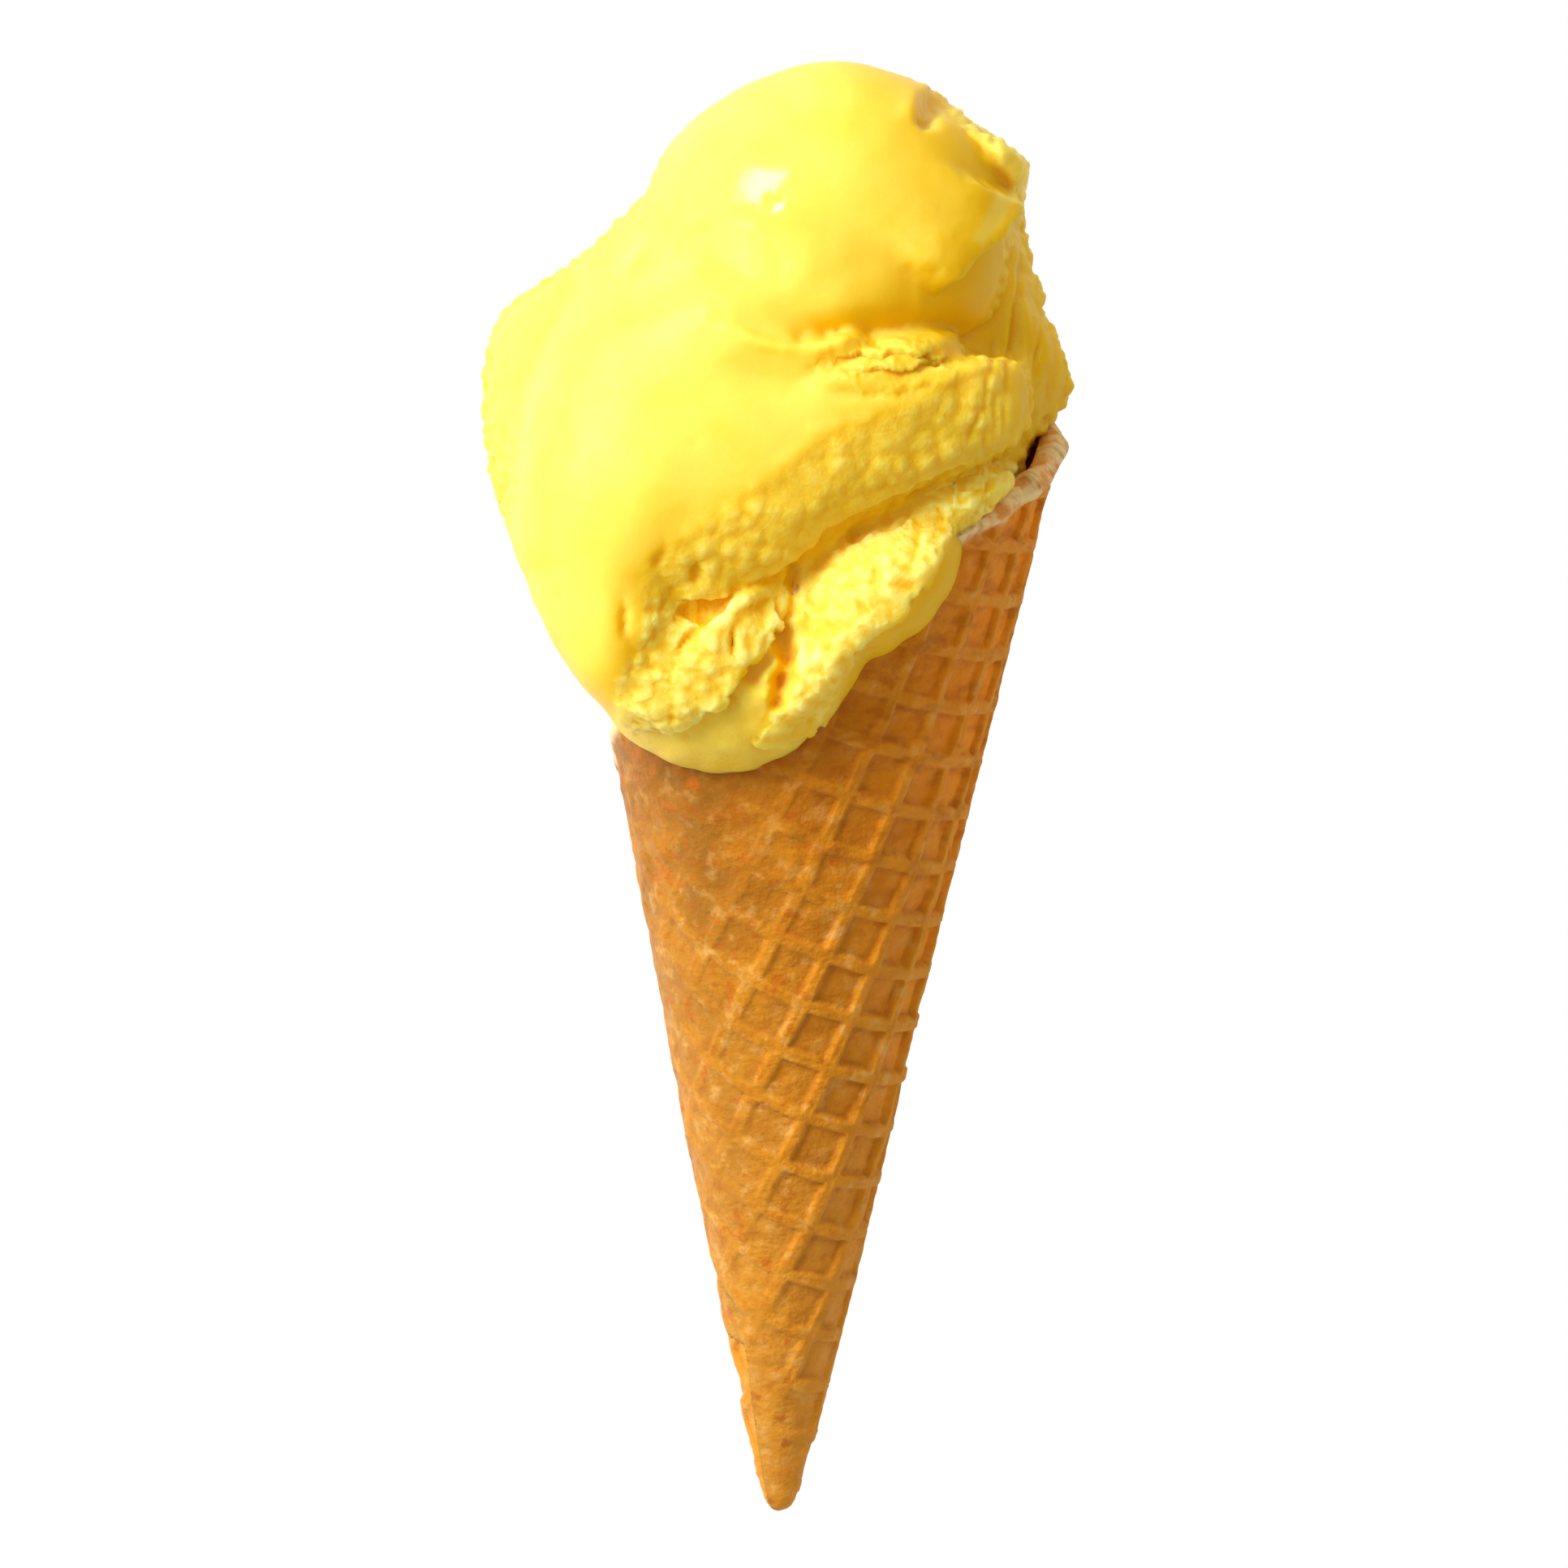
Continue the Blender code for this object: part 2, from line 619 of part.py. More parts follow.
def add_scoop(bm, outline, level, rise, depth, lean, boxy):
    """A ball drawn out to a scoop's outline and heights."""
    middle, turns, table = outline_table(outline)
    power = 2 / boxy
    ball = bmesh.ops.create_uvsphere(
        bm, u_segments=SCOOP_SEGMENTS, v_segments=SCOOP_SEGMENTS // 2, radius=1.0,
    )
    for vert in ball["verts"]:
        turn = math.atan2(vert.co.y, vert.co.x)
        reach = np.interp(turn, turns, table) * min(vert.co.xy.length, 1.0) ** power
        x, y = reach * math.cos(turn), reach * math.sin(turn)
        height = math.copysign(abs(vert.co.z) ** power, vert.co.z) * (rise if vert.co.z > 0 else depth)
        vert.co = (middle[0] + x, middle[1] + y, level + height + lean[0] * x + lean[1] * y)


def move_onto_scoops(mesh):
    """Draws a mesh near the scoops onto their melted outside."""
    places = np.empty(len(mesh.vertices) * 3)
    mesh.vertices.foreach_get("co", places)
    places = places.reshape(-1, 3)
    for _ in range(MELT_STEPS):
        distance = sorbet_distance(places)
        ahead = [sorbet_distance(places + SLOPE_STEP * axis) for axis in np.eye(3)]
        slope = (np.stack(ahead, axis=1) - distance[:, None]) / SLOPE_STEP
        steepness = np.maximum((slope ** 2).sum(axis=1), LEAST_STEEPNESS)
        move = np.clip(distance / steepness, -LONGEST_MELT_STEP, LONGEST_MELT_STEP)
        places -= MELT_SHARE * move[:, None] * slope
    mesh.vertices.foreach_set("co", places.ravel())
    mesh.update()


def plug(collection):
    """Sorbet inside the cone, which the wall then cuts to size."""
    length = PLUG_END - PLUG_START
    bm = bmesh.new()
    bmesh.ops.create_cone(
        bm, cap_ends=True, segments=48, radius1=cone_radius(PLUG_START, -WALL / 2),
        radius2=cone_radius(PLUG_END, -WALL / 2), depth=length,
    )
    upright = Matrix.Rotation(-math.pi / 2, 4, "X")
    along = Matrix.Translation((0, PLUG_START + length / 2, 0))
    bmesh.ops.transform(bm, matrix=cone_placement() @ along @ upright, verts=bm.verts)
    return make_object(bm, "plug", collection)


def remesh(obj, voxel):
    modifier = obj.modifiers.new("Remesh", "REMESH")
    modifier.mode = "VOXEL"
    modifier.voxel_size = voxel
    apply_modifiers(obj)


def sorbet_lump(collection):
    """All the scoops as one body."""
    bm = bmesh.new()
    for scoop in SCOOPS.values():
        add_scoop(bm, **scoop_shape(scoop))
    lump = make_object(bm, "sorbet", collection)
    remesh(lump, VOXEL)
    move_onto_scoops(lump.data)
    remesh(lump, VOXEL)
    smooth = lump.modifiers.new("Smooth", "SMOOTH")
    smooth.factor = 0.5
    smooth.iterations = 2
    apply_modifiers(lump)
    return lump


def keep_largest(bm):
    """Drops loose scraps that a cut leaves behind."""
    unseen = set(bm.verts)
    pieces = []
    while unseen:
        stack = [unseen.pop()]
        piece = set(stack)
        while stack:
            for edge in stack.pop().link_edges:
                for vert in edge.verts:
                    if vert in unseen:
                        unseen.discard(vert)
                        piece.add(vert)
                        stack.append(vert)
        pieces.append(piece)
    pieces.sort(key=len)
    scraps = [vert for piece in pieces[:-1] for vert in piece]
    bmesh.ops.delete(bm, geom=scraps, context="VERTS")


def rest_on_floor(obj):
    """Cuts the flat spot that the sorbet lies on."""
    bm = bmesh.new()
    bm.from_mesh(obj.data)
    bmesh.ops.bisect_plane(
        bm, geom=bm.verts[:] + bm.edges[:] + bm.faces[:], dist=0.001,
        plane_co=(0, 0, 0), plane_no=(0, 0, -1), clear_outer=True,
    )
    rim = [edge for edge in bm.edges if edge.is_boundary]
    bmesh.ops.edgeloop_fill(bm, edges=rim)
    keep_largest(bm)
    face_outwards(bm)
    bm.to_mesh(obj.data)
    bm.free()


def make_sorbet(parts, cutters):
    sorbet = sorbet_lump(parts)
    thin_out(sorbet, SORBET_TRIANGLES)
    combine(sorbet, plug(cutters), "UNION")
    wall = smooth_wall(cutters, GAP)
    wall.data.transform(cone_placement())
    combine(sorbet, wall, "DIFFERENCE")
    rest_on_floor(sorbet)
    return sorbet


def add_material(obj, name, colour, roughness):
    material = bpy.data.materials.new(name)
    material.use_nodes = True
    shader = material.node_tree.nodes["Principled BSDF"]
    shader.inputs["Base Color"].default_value = (*colour, 1.0)
    shader.inputs["Roughness"].default_value = roughness
    obj.data.materials.clear()
    obj.data.materials.append(material)


def shade(obj):
    obj.data.shade_smooth()
    obj.data.set_sharp_from_angle(angle=math.radians(35))


def centre_on_floor(objects):
    """Puts the origin under the middle of the whole, on the floor, and scales to metres."""
    points = np.array([vert.co for obj in objects for vert in obj.data.vertices])
    low, high = points.min(axis=0), points.max(axis=0)
    middle = (low + high) / 2
    shift = Matrix.Translation((-middle[0], -middle[1], -low[2]))
    print("middle before centring, mm:", middle, "lowest", low[2])
    for obj in objects:
        obj.data.transform(Matrix.Scale(METRES_PER_MM, 4) @ shift)


def main():
    clear_scene()
    parts = make_collection("mango_sorbet_cone")
    cutters = make_collection("cutters")
    cone = make_cone(parts, cutters)
    sorbet = make_sorbet(parts, cutters)
    add_material(cone, "baked wafer", (0.66, 0.33, 0.09), 0.75)
    add_material(sorbet, "mango sorbet", (0.96, 0.76, 0.07), 0.35)
    centre_on_floor([cone, sorbet])
    for obj in (cone, sorbet):
        shade(obj)


main()
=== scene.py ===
import math

import bmesh
import bpy
import numpy as np
from mathutils import Matrix, Vector


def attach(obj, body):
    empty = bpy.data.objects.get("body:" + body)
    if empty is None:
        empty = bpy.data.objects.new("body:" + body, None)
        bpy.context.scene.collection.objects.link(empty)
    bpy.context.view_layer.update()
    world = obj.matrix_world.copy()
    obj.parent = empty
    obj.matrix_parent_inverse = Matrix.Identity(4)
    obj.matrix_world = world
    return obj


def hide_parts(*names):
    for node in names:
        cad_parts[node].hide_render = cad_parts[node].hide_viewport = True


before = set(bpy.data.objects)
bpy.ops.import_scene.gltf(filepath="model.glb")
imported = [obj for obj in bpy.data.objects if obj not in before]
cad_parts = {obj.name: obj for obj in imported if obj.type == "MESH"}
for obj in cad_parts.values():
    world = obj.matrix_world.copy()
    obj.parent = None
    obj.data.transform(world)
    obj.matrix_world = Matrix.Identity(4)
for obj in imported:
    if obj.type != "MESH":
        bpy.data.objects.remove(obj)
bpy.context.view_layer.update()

# Shapes are worked out in millimetres. The place (0, 0) is the floor under the photo's middle, +Y goes
# up the photo and +Z towards the camera. toFrame takes them to the frame's metres.
whole = {"photoMiddle": (0.88, 2.25), "milli": 0.001}
toFrame = Matrix.Scale(whole["milli"], 4) @ Matrix.Translation((*whole["photoMiddle"], 0))


# Mesh helpers

def linked(data, name):
    obj = bpy.data.objects.new(name, data)
    bpy.context.scene.collection.objects.link(obj)
    return obj


def fromBmesh(bm, name):
    mesh = bpy.data.meshes.new(name)
    bm.to_mesh(mesh)
    bm.free()
    return linked(mesh, name)


def toBmesh(mesh):
    bm = bmesh.new()
    bm.from_mesh(mesh)
    return bm


def modified(obj, kind, **settings):
    # takes what a modifier gives as the object's own mesh
    modifier = obj.modifiers.new(kind, kind)
    for name, value in settings.items():
        setattr(modifier, name, value)
    graph = bpy.context.evaluated_depsgraph_get()
    mesh = bpy.data.meshes.new_from_object(obj.evaluated_get(graph))
    obj.modifiers.clear()
    obj.data = mesh
    return obj


def remeshed(obj, voxel):
    return modified(obj, "REMESH", mode="VOXEL", voxel_size=voxel)


def thinned(obj, ratio, chosen):
    # fewer faces, at the chosen points only
    group = obj.vertex_groups.new(name="chosen")
    group.add(np.flatnonzero(chosen).tolist(), 1.0, "REPLACE")
    modified(obj, "DECIMATE", ratio=ratio, vertex_group=group.name)
    obj.vertex_groups.clear()
    return obj


def gathered(items, setting, width=3):
    # one row of numbers for each item
    values = np.empty(len(items) * width)
    items.foreach_get(setting, values)
    return values.reshape(-1, width)


def places(mesh):
    return gathered(mesh.vertices, "co")


def normals(mesh):
    return gathered(mesh.vertex_normals, "vector")


def setPlaces(mesh, values):
    mesh.vertices.foreach_set("co", values.ravel())
    mesh.update()


def setAttributes(mesh, **named):
    for name, values in named.items():
        attribute = mesh.attributes.new(name, "FLOAT", "POINT")
        attribute.data.foreach_set("value", np.asarray(values, np.float32))


def finished(obj, material):
    obj.data.transform(toFrame)
    obj.data.materials.clear()
    obj.data.materials.append(material)
    obj.data.shade_smooth()
    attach(obj, "root")
    return obj


# Patterns in space

tableSize = 4096
farOff = 1000.0  # further than anything here reaches


def hashed(cells, seed):
    scrambled = cells[..., 0] * 73856093 ^ cells[..., 1] * 19349663 ^ cells[..., 2] * 83492791
    return (scrambled + seed * 7919) % tableSize


def smoothStep(share):
    return share * share * (3 - 2 * share)


def lumps(points, size, seed):
    # soft lumps of about this size, between -1 and 1
    table = np.random.default_rng(seed).uniform(-1, 1, tableSize)
    scaled = points / size
    cell = np.floor(scaled).astype(np.int64)
    part = smoothStep(scaled - cell)
    total = np.zeros(len(points))
    for corner in np.ndindex(2, 2, 2):
        weight = np.prod(np.where(corner, part, 1 - part), axis=1)
        total += weight * table[hashed(cell + corner, seed)]
    return total


def uneven(points, layers, seed):
    # lumps in layers, each given by its height and size
    return sum(height * lumps(points, size, seed + number) for number, (height, size) in enumerate(layers))


def knobs(points, size, seed):
    # how near the closest of scattered middles is: 1 on a knob's top and 0 in the furrows between
    offsets = np.random.default_rng(seed).uniform(0.15, 0.85, (tableSize, 3))
    scaled = points / size
    cell = np.floor(scaled).astype(np.int64)
    nearest = np.full(len(points), farOff)
    for shift in np.ndindex(3, 3, 3):
        neighbour = cell + shift - 1
        middle = neighbour + offsets[hashed(neighbour, seed)]
        nearest = np.minimum(nearest, ((scaled - middle) ** 2).sum(axis=1))
    return np.clip(1 - np.sqrt(nearest), 0, 1)


def faded(value, low, high):
    # 0 below low, 1 above high, and a smooth change between
    return smoothStep(np.clip((value - low) / (high - low), 0, 1))


def bell(offset, reach):
    # 1 in the middle, fading away on both sides over this reach
    return np.exp(-(offset / reach) ** 2)


def nearPlace(points, middle, reach):
    # 1 at a place seen from above, fading away all round
    return bell(points[:, :2] - middle, reach).prod(axis=1)


def fromTable(value, table):
    # what a table of pairs gives for a value
    return np.interp(value, *zip(*table))


def nearestOnRoute(xy, route):
    # distance from a route seen from above, which side (left is positive), and the share along it
    corners = np.array([point[:2] for point in route], float)
    lengths = np.linalg.norm(np.diff(corners, axis=0), axis=1)
    before = np.concatenate([[0], np.cumsum(lengths)])
    distance = np.full(len(xy), farOff)
    side = np.ones(len(xy))
    along = np.zeros(len(xy))
    for start, end, length, done in zip(corners, corners[1:], lengths, before):
        way = (end - start) / length
        reach = np.clip((xy - start) @ way, 0, length)
        offset = xy - start - reach[:, None] * way
        gap = np.linalg.norm(offset, axis=1)
        nearer = gap < distance
        distance = np.where(nearer, gap, distance)
        turned = way[0] * offset[:, 1] - way[1] * offset[:, 0]
        side = np.where(nearer, np.where(turned >= 0, 1.0, -1.0), side)
        along = np.where(nearer, (done + reach) / before[-1], along)
    return distance, side, along


def insideArea(xy, outline, edge):
    # 1 inside an outline seen from above, 0 outside, and soft over the edge's width
    corners = np.array(outline + outline[:1], float)
    distance, _, _ = nearestOnRoute(xy, corners)
    inside = np.zeros(len(xy), bool)
    for start, end in zip(corners, corners[1:]):
        crosses = (start[1] > xy[:, 1]) != (end[1] > xy[:, 1])
        rise = end[1] - start[1] if end[1] != start[1] else 1e-9
        at = start[0] + (xy[:, 1] - start[1]) * (end[0] - start[0]) / rise
        inside ^= crosses & (xy[:, 0] < at)
    return faded(np.where(inside, distance, -distance), -edge / 2, edge / 2)


# The rolled wafer

# The wafer is pressed flat and then rolled up from its far right side. Angles go round the cone: 0 faces
# the camera and 90 is on the right. Distances go from the cone's point. A table's pairs are a distance,
# or an angle, and the value there.
wafer = {
    "point": (-0.78, -105.6, 0), "tilt": 13.4, "lean": 1.5, "sinHalf": 0.2117,
    "innerEnd": 316.0, "outerEnd": -240.0, "turnStart": -44.0, "joinWidth": 5, "wall": 3.4, "layer": 1.6,
    "flapThick": 1.8, "flapTip": 34.0, "flapThinning": [(34, 0.3), (60, 1)],
    "peakAngle": 135.8, "peak": 157.3, "roundness": 0.85, "tipRadius": 2.1,
    "squeezedTip": 26.0, "squeezeLength": 34.0,
    "swell": [(0, 0), (8, 0.35), (12, 0.7), (20, 0.85), (40, 0.95), (60, 1.05), (72, 0.75), (82, 0.5),
              (110, 0.35), (150, 0.2)],
    "swollenSides": (-0.6, -0.1), "gap": 0.3, "rightGap": 2.2, "rightGapAt": 62, "rightGapWidth": 22,
    "aboveRim": 0.6, "rimWaves": [(0.7, 9), (0.35, 2.6)], "rimLess": 0.4, "rimFrom": 3.0, "rimFull": 0.6,
    "rimBulge": 1.1, "rimSunk": -0.3, "rimSwollen": 0.9, "rimSwollenFrom": (10, 50),
    "rimLumps": [(0.4, 3.4)], "seamWidth": 9, "seamSunk": 0.3, "seamFades": (30, 42),
    "innerLumps": [(0.15, 5)], "innerFaces": 0.6, "wallCuts": 3,
}
waffle = {
    "pitch": 7.4, "cellsAcross": 32, "cellsUp": 24, "cellsLeft": 16, "cellsBelow": 1, "lines": 14,
    "crowding": [(0, 0), (0.2857, 0.185), (0.5, 0.5)], "turn": 4.8, "start": (3.8, 4.3),
    "ribTop": 0.65, "ribFoot": 1.2, "ribWaver": [(0.2, 3.4)], "depth": 1.05, "wornDepth": 0.35,
    "lineAt": 1.25, "lineWidth": 0.3, "lineWaver": [(0.2, 2.0)], "crack": 0.2, "crackWidth": 0.2,
    "crackWaver": [(0.12, 1.6)], "crackPatches": [(1, 4.5)], "crackedFrom": (-0.2, 0.3),
    "crispness": [(-240, 0.9), (-130, 0.9), (-90, 0.3), (-55, 0.1), (-25, 0.2), (0, 0.5), (25, 0.8),
                  (50, 1), (316, 1)],
    "nearTip": [(14, 0.1), (22, 0.5), (45, 0.85), (80, 1), (170, 1)], "patches": [(0.18, 15)],
    "bumps": 0.1, "bumpsUnderSorbet": 0.14, "bumpSizes": [(1, 3.2), (0.5, 1.6)],
    "wrinkles": 0.07, "wrinklesUnderSorbet": 0.05, "wrinkleSize": 1.5, "wrinkled": (1, 2.2, 1),
    "waves": [(0.16, 18)], "underSorbet": [(-110, -60), (40, 110), (88, 104)], "wornUnderSorbet": 0.35,
}
cosHalf = math.sqrt(1 - wafer["sinHalf"] ** 2)
halfAngle = math.asin(wafer["sinHalf"])
conePlace = (
    Matrix.Translation(wafer["point"]) @ Matrix.Rotation(-math.radians(wafer["lean"]), 4, "Z")
    @ Matrix.Rotation(math.radians(wafer["tilt"]), 4, "X"))


def onFlat(angle):
    # where an angle round the cone lies on the flat wafer, in radians
    return np.radians((wafer["peakAngle"] - angle) * wafer["sinHalf"])


def rimReach(flatAngle):
    # how far from the point the flat wafer's round edge is
    return wafer["peak"] / cosHalf * np.cos(flatAngle) ** wafer["roundness"]


def outsideHollow(points):
    # how far points lie outside the room that the wafer leaves for the sorbet; above the rim all is free
    turned = np.array(conePlace.inverted())
    x, along, z = (points @ turned[:3, :3].T + turned[:3, 3]).T
    angle = np.degrees(np.arctan2(x, z))
    rim = rimReach(onFlat((angle - wafer["turnStart"]) % 360 + wafer["turnStart"])) * cosHalf
    gap = wafer["gap"] + wafer["rightGap"] * bell(angle - wafer["rightGapAt"], wafer["rightGapWidth"])
    inside = along * math.tan(halfAngle) - wafer["wall"] / cosHalf - gap
    return np.minimum(np.hypot(x, z) - inside, rim + wafer["aboveRim"] - along)


def layerRise(angle, distance):
    # the roll gains a layer's thickness outwards with each turn, less where it is squeezed at the tip
    nearTip = np.clip((distance - wafer["squeezedTip"]) / wafer["squeezeLength"], 0, 1)
    return -wafer["layer"] * nearTip * (angle - wafer["turnStart"]) / 360


def rolledUp(distance, flatAngle, height):
    # a place on the flat wafer, and its height there, as a place on the cone with its round tip
    angle = math.radians(wafer["peakAngle"]) - flatAngle / wafer["sinHalf"]
    along = distance * cosHalf - height * wafer["sinHalf"]
    radius = distance * wafer["sinHalf"] + height * cosHalf
    ball = wafer["tipRadius"]
    straightFrom = ball / wafer["sinHalf"] * cosHalf
    lean = halfAngle + np.clip(straightFrom - distance, 0, None) / ball
    inBall = np.maximum(ball + height, 0.3)
    along = np.where(distance < straightFrom, ball / wafer["sinHalf"] - inBall * np.sin(lean), along)
    radius = np.where(distance < straightFrom, inBall * np.cos(lean), np.maximum(radius, 0.2))
    return np.stack([radius * np.sin(angle), along, radius * np.cos(angle)], axis=1)


def waffleRelief(x, y, angle, distance):
    # how high the flat wafer's face stands, and how much of a rib or of a painted shade line each place is;
    # the painted shade lines run along the feet of the ribs
    points = np.stack([x, y, np.zeros(len(x))], axis=1)
    turn = math.radians(waffle["turn"])
    across = (x * math.cos(turn) - y * math.sin(turn) - waffle["start"][0]) / waffle["pitch"]
    up = (x * math.sin(turn) + y * math.cos(turn) - waffle["start"][1]) / waffle["pitch"]
    rib, line, crack = np.zeros((3, len(x)))
    for seed, at in ((301, across), (302, up)):
        side = (at - np.round(at)) * waffle["pitch"] + uneven(points, waffle["ribWaver"], seed)
        rib = np.maximum(rib, 1 - faded(np.abs(side), waffle["ribTop"], waffle["ribFoot"]))
        # painted shade: a thin line along the foot of each rib, where the rib's wall shades the cell
        foot = waffle["lineAt"] + uneven(points, waffle["lineWaver"], seed + 5)
        line = np.maximum(line, bell(np.abs(side) - foot, waffle["lineWidth"]))
        split = bell(side + uneven(points, waffle["crackWaver"], seed + 10), waffle["crackWidth"])
        cracked = faded(uneven(points, waffle["crackPatches"], seed + 20), *waffle["crackedFrom"])
        crack = np.maximum(crack, split * cracked)
    crisp = fromTable(angle, waffle["crispness"]) * fromTable(distance, waffle["nearTip"])
    crisp = np.clip(crisp + uneven(points, waffle["patches"], 330), 0, 1)
    left, right, low = waffle["underSorbet"]
    underSorbet = faded(angle, *left) * (1 - faded(angle, *right)) * faded(distance, *low)
    crisp = crisp * (1 - waffle["wornUnderSorbet"] * underSorbet)
    level = -waffle["depth"] * crisp * (1 - rib) - waffle["crack"] * crisp * crack
    level -= waffle["wornDepth"] * waffle["depth"] * (1 - crisp)
    bumps = waffle["bumps"] + waffle["bumpsUnderSorbet"] * underSorbet
    wrinkles = waffle["wrinkles"] + waffle["wrinklesUnderSorbet"] * underSorbet
    level += bumps * uneven(points, waffle["bumpSizes"], 340)
    level += wrinkles * lumps(points * waffle["wrinkled"], waffle["wrinkleSize"], 345)
    level += uneven(points, waffle["waves"], 350)
    return level, rib * crisp, line * crisp * (1 - rib)


def flatWafer():
    # a flat grid whose lines crowd together at the ribs
    lines, across, up = waffle["lines"], waffle["cellsAcross"], waffle["cellsUp"]
    bm = bmesh.new()
    bmesh.ops.create_grid(bm, x_segments=across * lines, y_segments=up * lines, size=0.5)
    bmesh.ops.scale(bm, verts=bm.verts, vec=(across, up, 1))
    middle = (across / 2 - waffle["cellsLeft"], up / 2 - waffle["cellsBelow"], 0)
    bmesh.ops.translate(bm, verts=bm.verts, vec=middle)
    flat = fromBmesh(bm, "flatWafer")
    values = places(flat.data)
    cell = np.round(values[:, :2])
    part = values[:, :2] - cell
    part = np.sign(part) * fromTable(np.abs(part), waffle["crowding"])
    values[:, :2] = (cell + part) * waffle["pitch"] + waffle["start"]
    values[:, 2] = 0
    setPlaces(flat.data, values)
    flat.data.transform(Matrix.Rotation(-math.radians(waffle["turn"]), 4, "Z"))
    bm = toBmesh(flat.data)
    bpy.data.objects.remove(flat)
    return bm


def rolledWafer():
    lowEnd, highEnd, turnEnd = [onFlat(wafer[end]) for end in ("innerEnd", "outerEnd", "turnStart")]
    pole = wafer["tipRadius"] / wafer["sinHalf"] * cosHalf - wafer["tipRadius"] * (math.pi / 2 - halfAngle)
    bm = flatWafer()

    def unused(face):
        middle = face.calc_center_median()
        distance, flatAngle = middle.xy.length, math.atan2(middle.x, middle.y)
        if distance < pole - 0.3 or not lowEnd - 0.1 < flatAngle < highEnd + 0.1:
            return True
        cutAway = flatAngle > turnEnd + 0.4 / distance and distance < wafer["flapTip"]
        return distance > rimReach(flatAngle) or cutAway

    bmesh.ops.delete(bm, geom=[face for face in bm.faces if unused(face)], context="FACES")
    for flatAngle, side in ((lowEnd, -1), (highEnd, 1)):
        outwards = Vector((math.cos(flatAngle), -math.sin(flatAngle), 0)) * side
        bmesh.ops.bisect_plane(
            bm, geom=bm.verts[:] + bm.edges[:] + bm.faces[:], dist=0.0001, plane_co=(0, 0, 0),
            plane_no=outwards, clear_outer=True)
    made = bmesh.ops.extrude_face_region(bm, geom=bm.faces[:])
    below = [item for item in made["geom"] if isinstance(item, bmesh.types.BMVert)]
    bmesh.ops.translate(bm, verts=below, vec=(0, 0, -1))
    upright = [edge for edge in bm.edges if abs(edge.verts[0].co.z - edge.verts[1].co.z) > 0.5]
    bmesh.ops.subdivide_edges(bm, edges=upright, cuts=wafer["wallCuts"], use_grid_fill=True)
    obj = fromBmesh(bm, "rolledWafer")

    # the flat wafer's depth, from 0 on its face to 1 on its back, is the share of its wall
    mesh = obj.data
    values = places(mesh)
    share = -values[:, 2]
    distance = np.hypot(values[:, 0], values[:, 1])
    flatAngle = np.arctan2(values[:, 0], values[:, 1])
    flatAngle = np.where(distance < wafer["flapTip"] - 0.6, np.minimum(flatAngle, turnEnd), flatAngle)
    flatPoints = values * (1, 1, 0)
    edge = rimReach(np.clip(flatAngle, -1.5, 1.5)) - wafer["rimLess"]
    edge = edge + uneven(flatPoints, wafer["rimWaves"], 360)
    nearRim = faded(distance, edge - wafer["rimFrom"], edge - wafer["rimFull"])
    midWall = (share > 0.01) & (share < 0.99)
    distance = np.clip(distance, pole, edge)
    bulge = wafer["rimBulge"] * np.sin(math.pi * share)
    distance = distance + np.where(midWall & (nearRim > 0.5), bulge, 0)
    angle = wafer["peakAngle"] - np.degrees(flatAngle) / wafer["sinHalf"]
    level, rib, line = waffleRelief(values[:, 0], values[:, 1], angle, distance)
    swollen = wafer["rimSunk"] + wafer["rimSwollen"] * faded(angle, *wafer["rimSwollenFrom"])
    swollen = swollen + uneven(flatPoints, wafer["rimLumps"], 362)
    level = level * (1 - nearRim) + nearRim * swollen
    atSeam = sum(bell(angle - wafer[end], wafer["seamWidth"]) for end in ("turnStart", "innerEnd"))
    atSeam = np.clip(atSeam, 0, 1) * (1 - faded(distance, *wafer["seamFades"]))
    level = level * (1 - atSeam) - wafer["seamSunk"] * atSeam
    upperSides = faded(np.cos(np.radians(angle)), *wafer["swollenSides"])
    level += fromTable(distance, wafer["swell"]) * upperSides
    rise = layerRise(angle, distance)
    # the flap is thin, and its wall becomes the roll's where the flap leaves it
    thin = rise - wafer["flapThick"] * fromTable(distance, wafer["flapThinning"])
    joined = np.clip((angle - wafer["turnStart"]) / wafer["joinWidth"] + 1, 0, 1)
    inner = thin - (wafer["wall"] + thin) * joined + uneven(flatPoints, wafer["innerLumps"], 370)
    top = rise + level
    setPlaces(mesh, rolledUp(distance, flatAngle, top + (inner - top) * share))
    setAttributes(
        mesh, rib=np.clip(rib, 0, 1) * (1 - share), line=line * (1 - share), angle=angle,
        rim=np.maximum(nearRim, midWall * 1.0), distance=distance, inside=share)

    bm = toBmesh(mesh)
    bmesh.ops.remove_doubles(bm, verts=bm.verts, dist=0.001)
    bmesh.ops.recalc_face_normals(bm, faces=bm.faces)
    if bm.calc_volume(signed=True) < 0:
        bmesh.ops.reverse_faces(bm, faces=bm.faces)
    bm.to_mesh(mesh)
    bm.free()

    back = gathered(mesh.attributes["inside"].data, "value", 1)[:, 0] > 0.99
    thinned(obj, wafer["innerFaces"], back).data.transform(conePlace)
    values = places(obj.data)
    values[:, 2] = np.maximum(values[:, 2], 0)
    setPlaces(obj.data, values)
    return obj


# Sorbet, as scoops pressed into each other

body = {
    "coarse": 1.0, "fine": 0.55, "cutRounding": 5.5, "undersideFrom": -0.25, "undersideLess": 0.65,
    "tornFrom": 0.15, "smoothing": 0.5, "triangles": 190000,
}


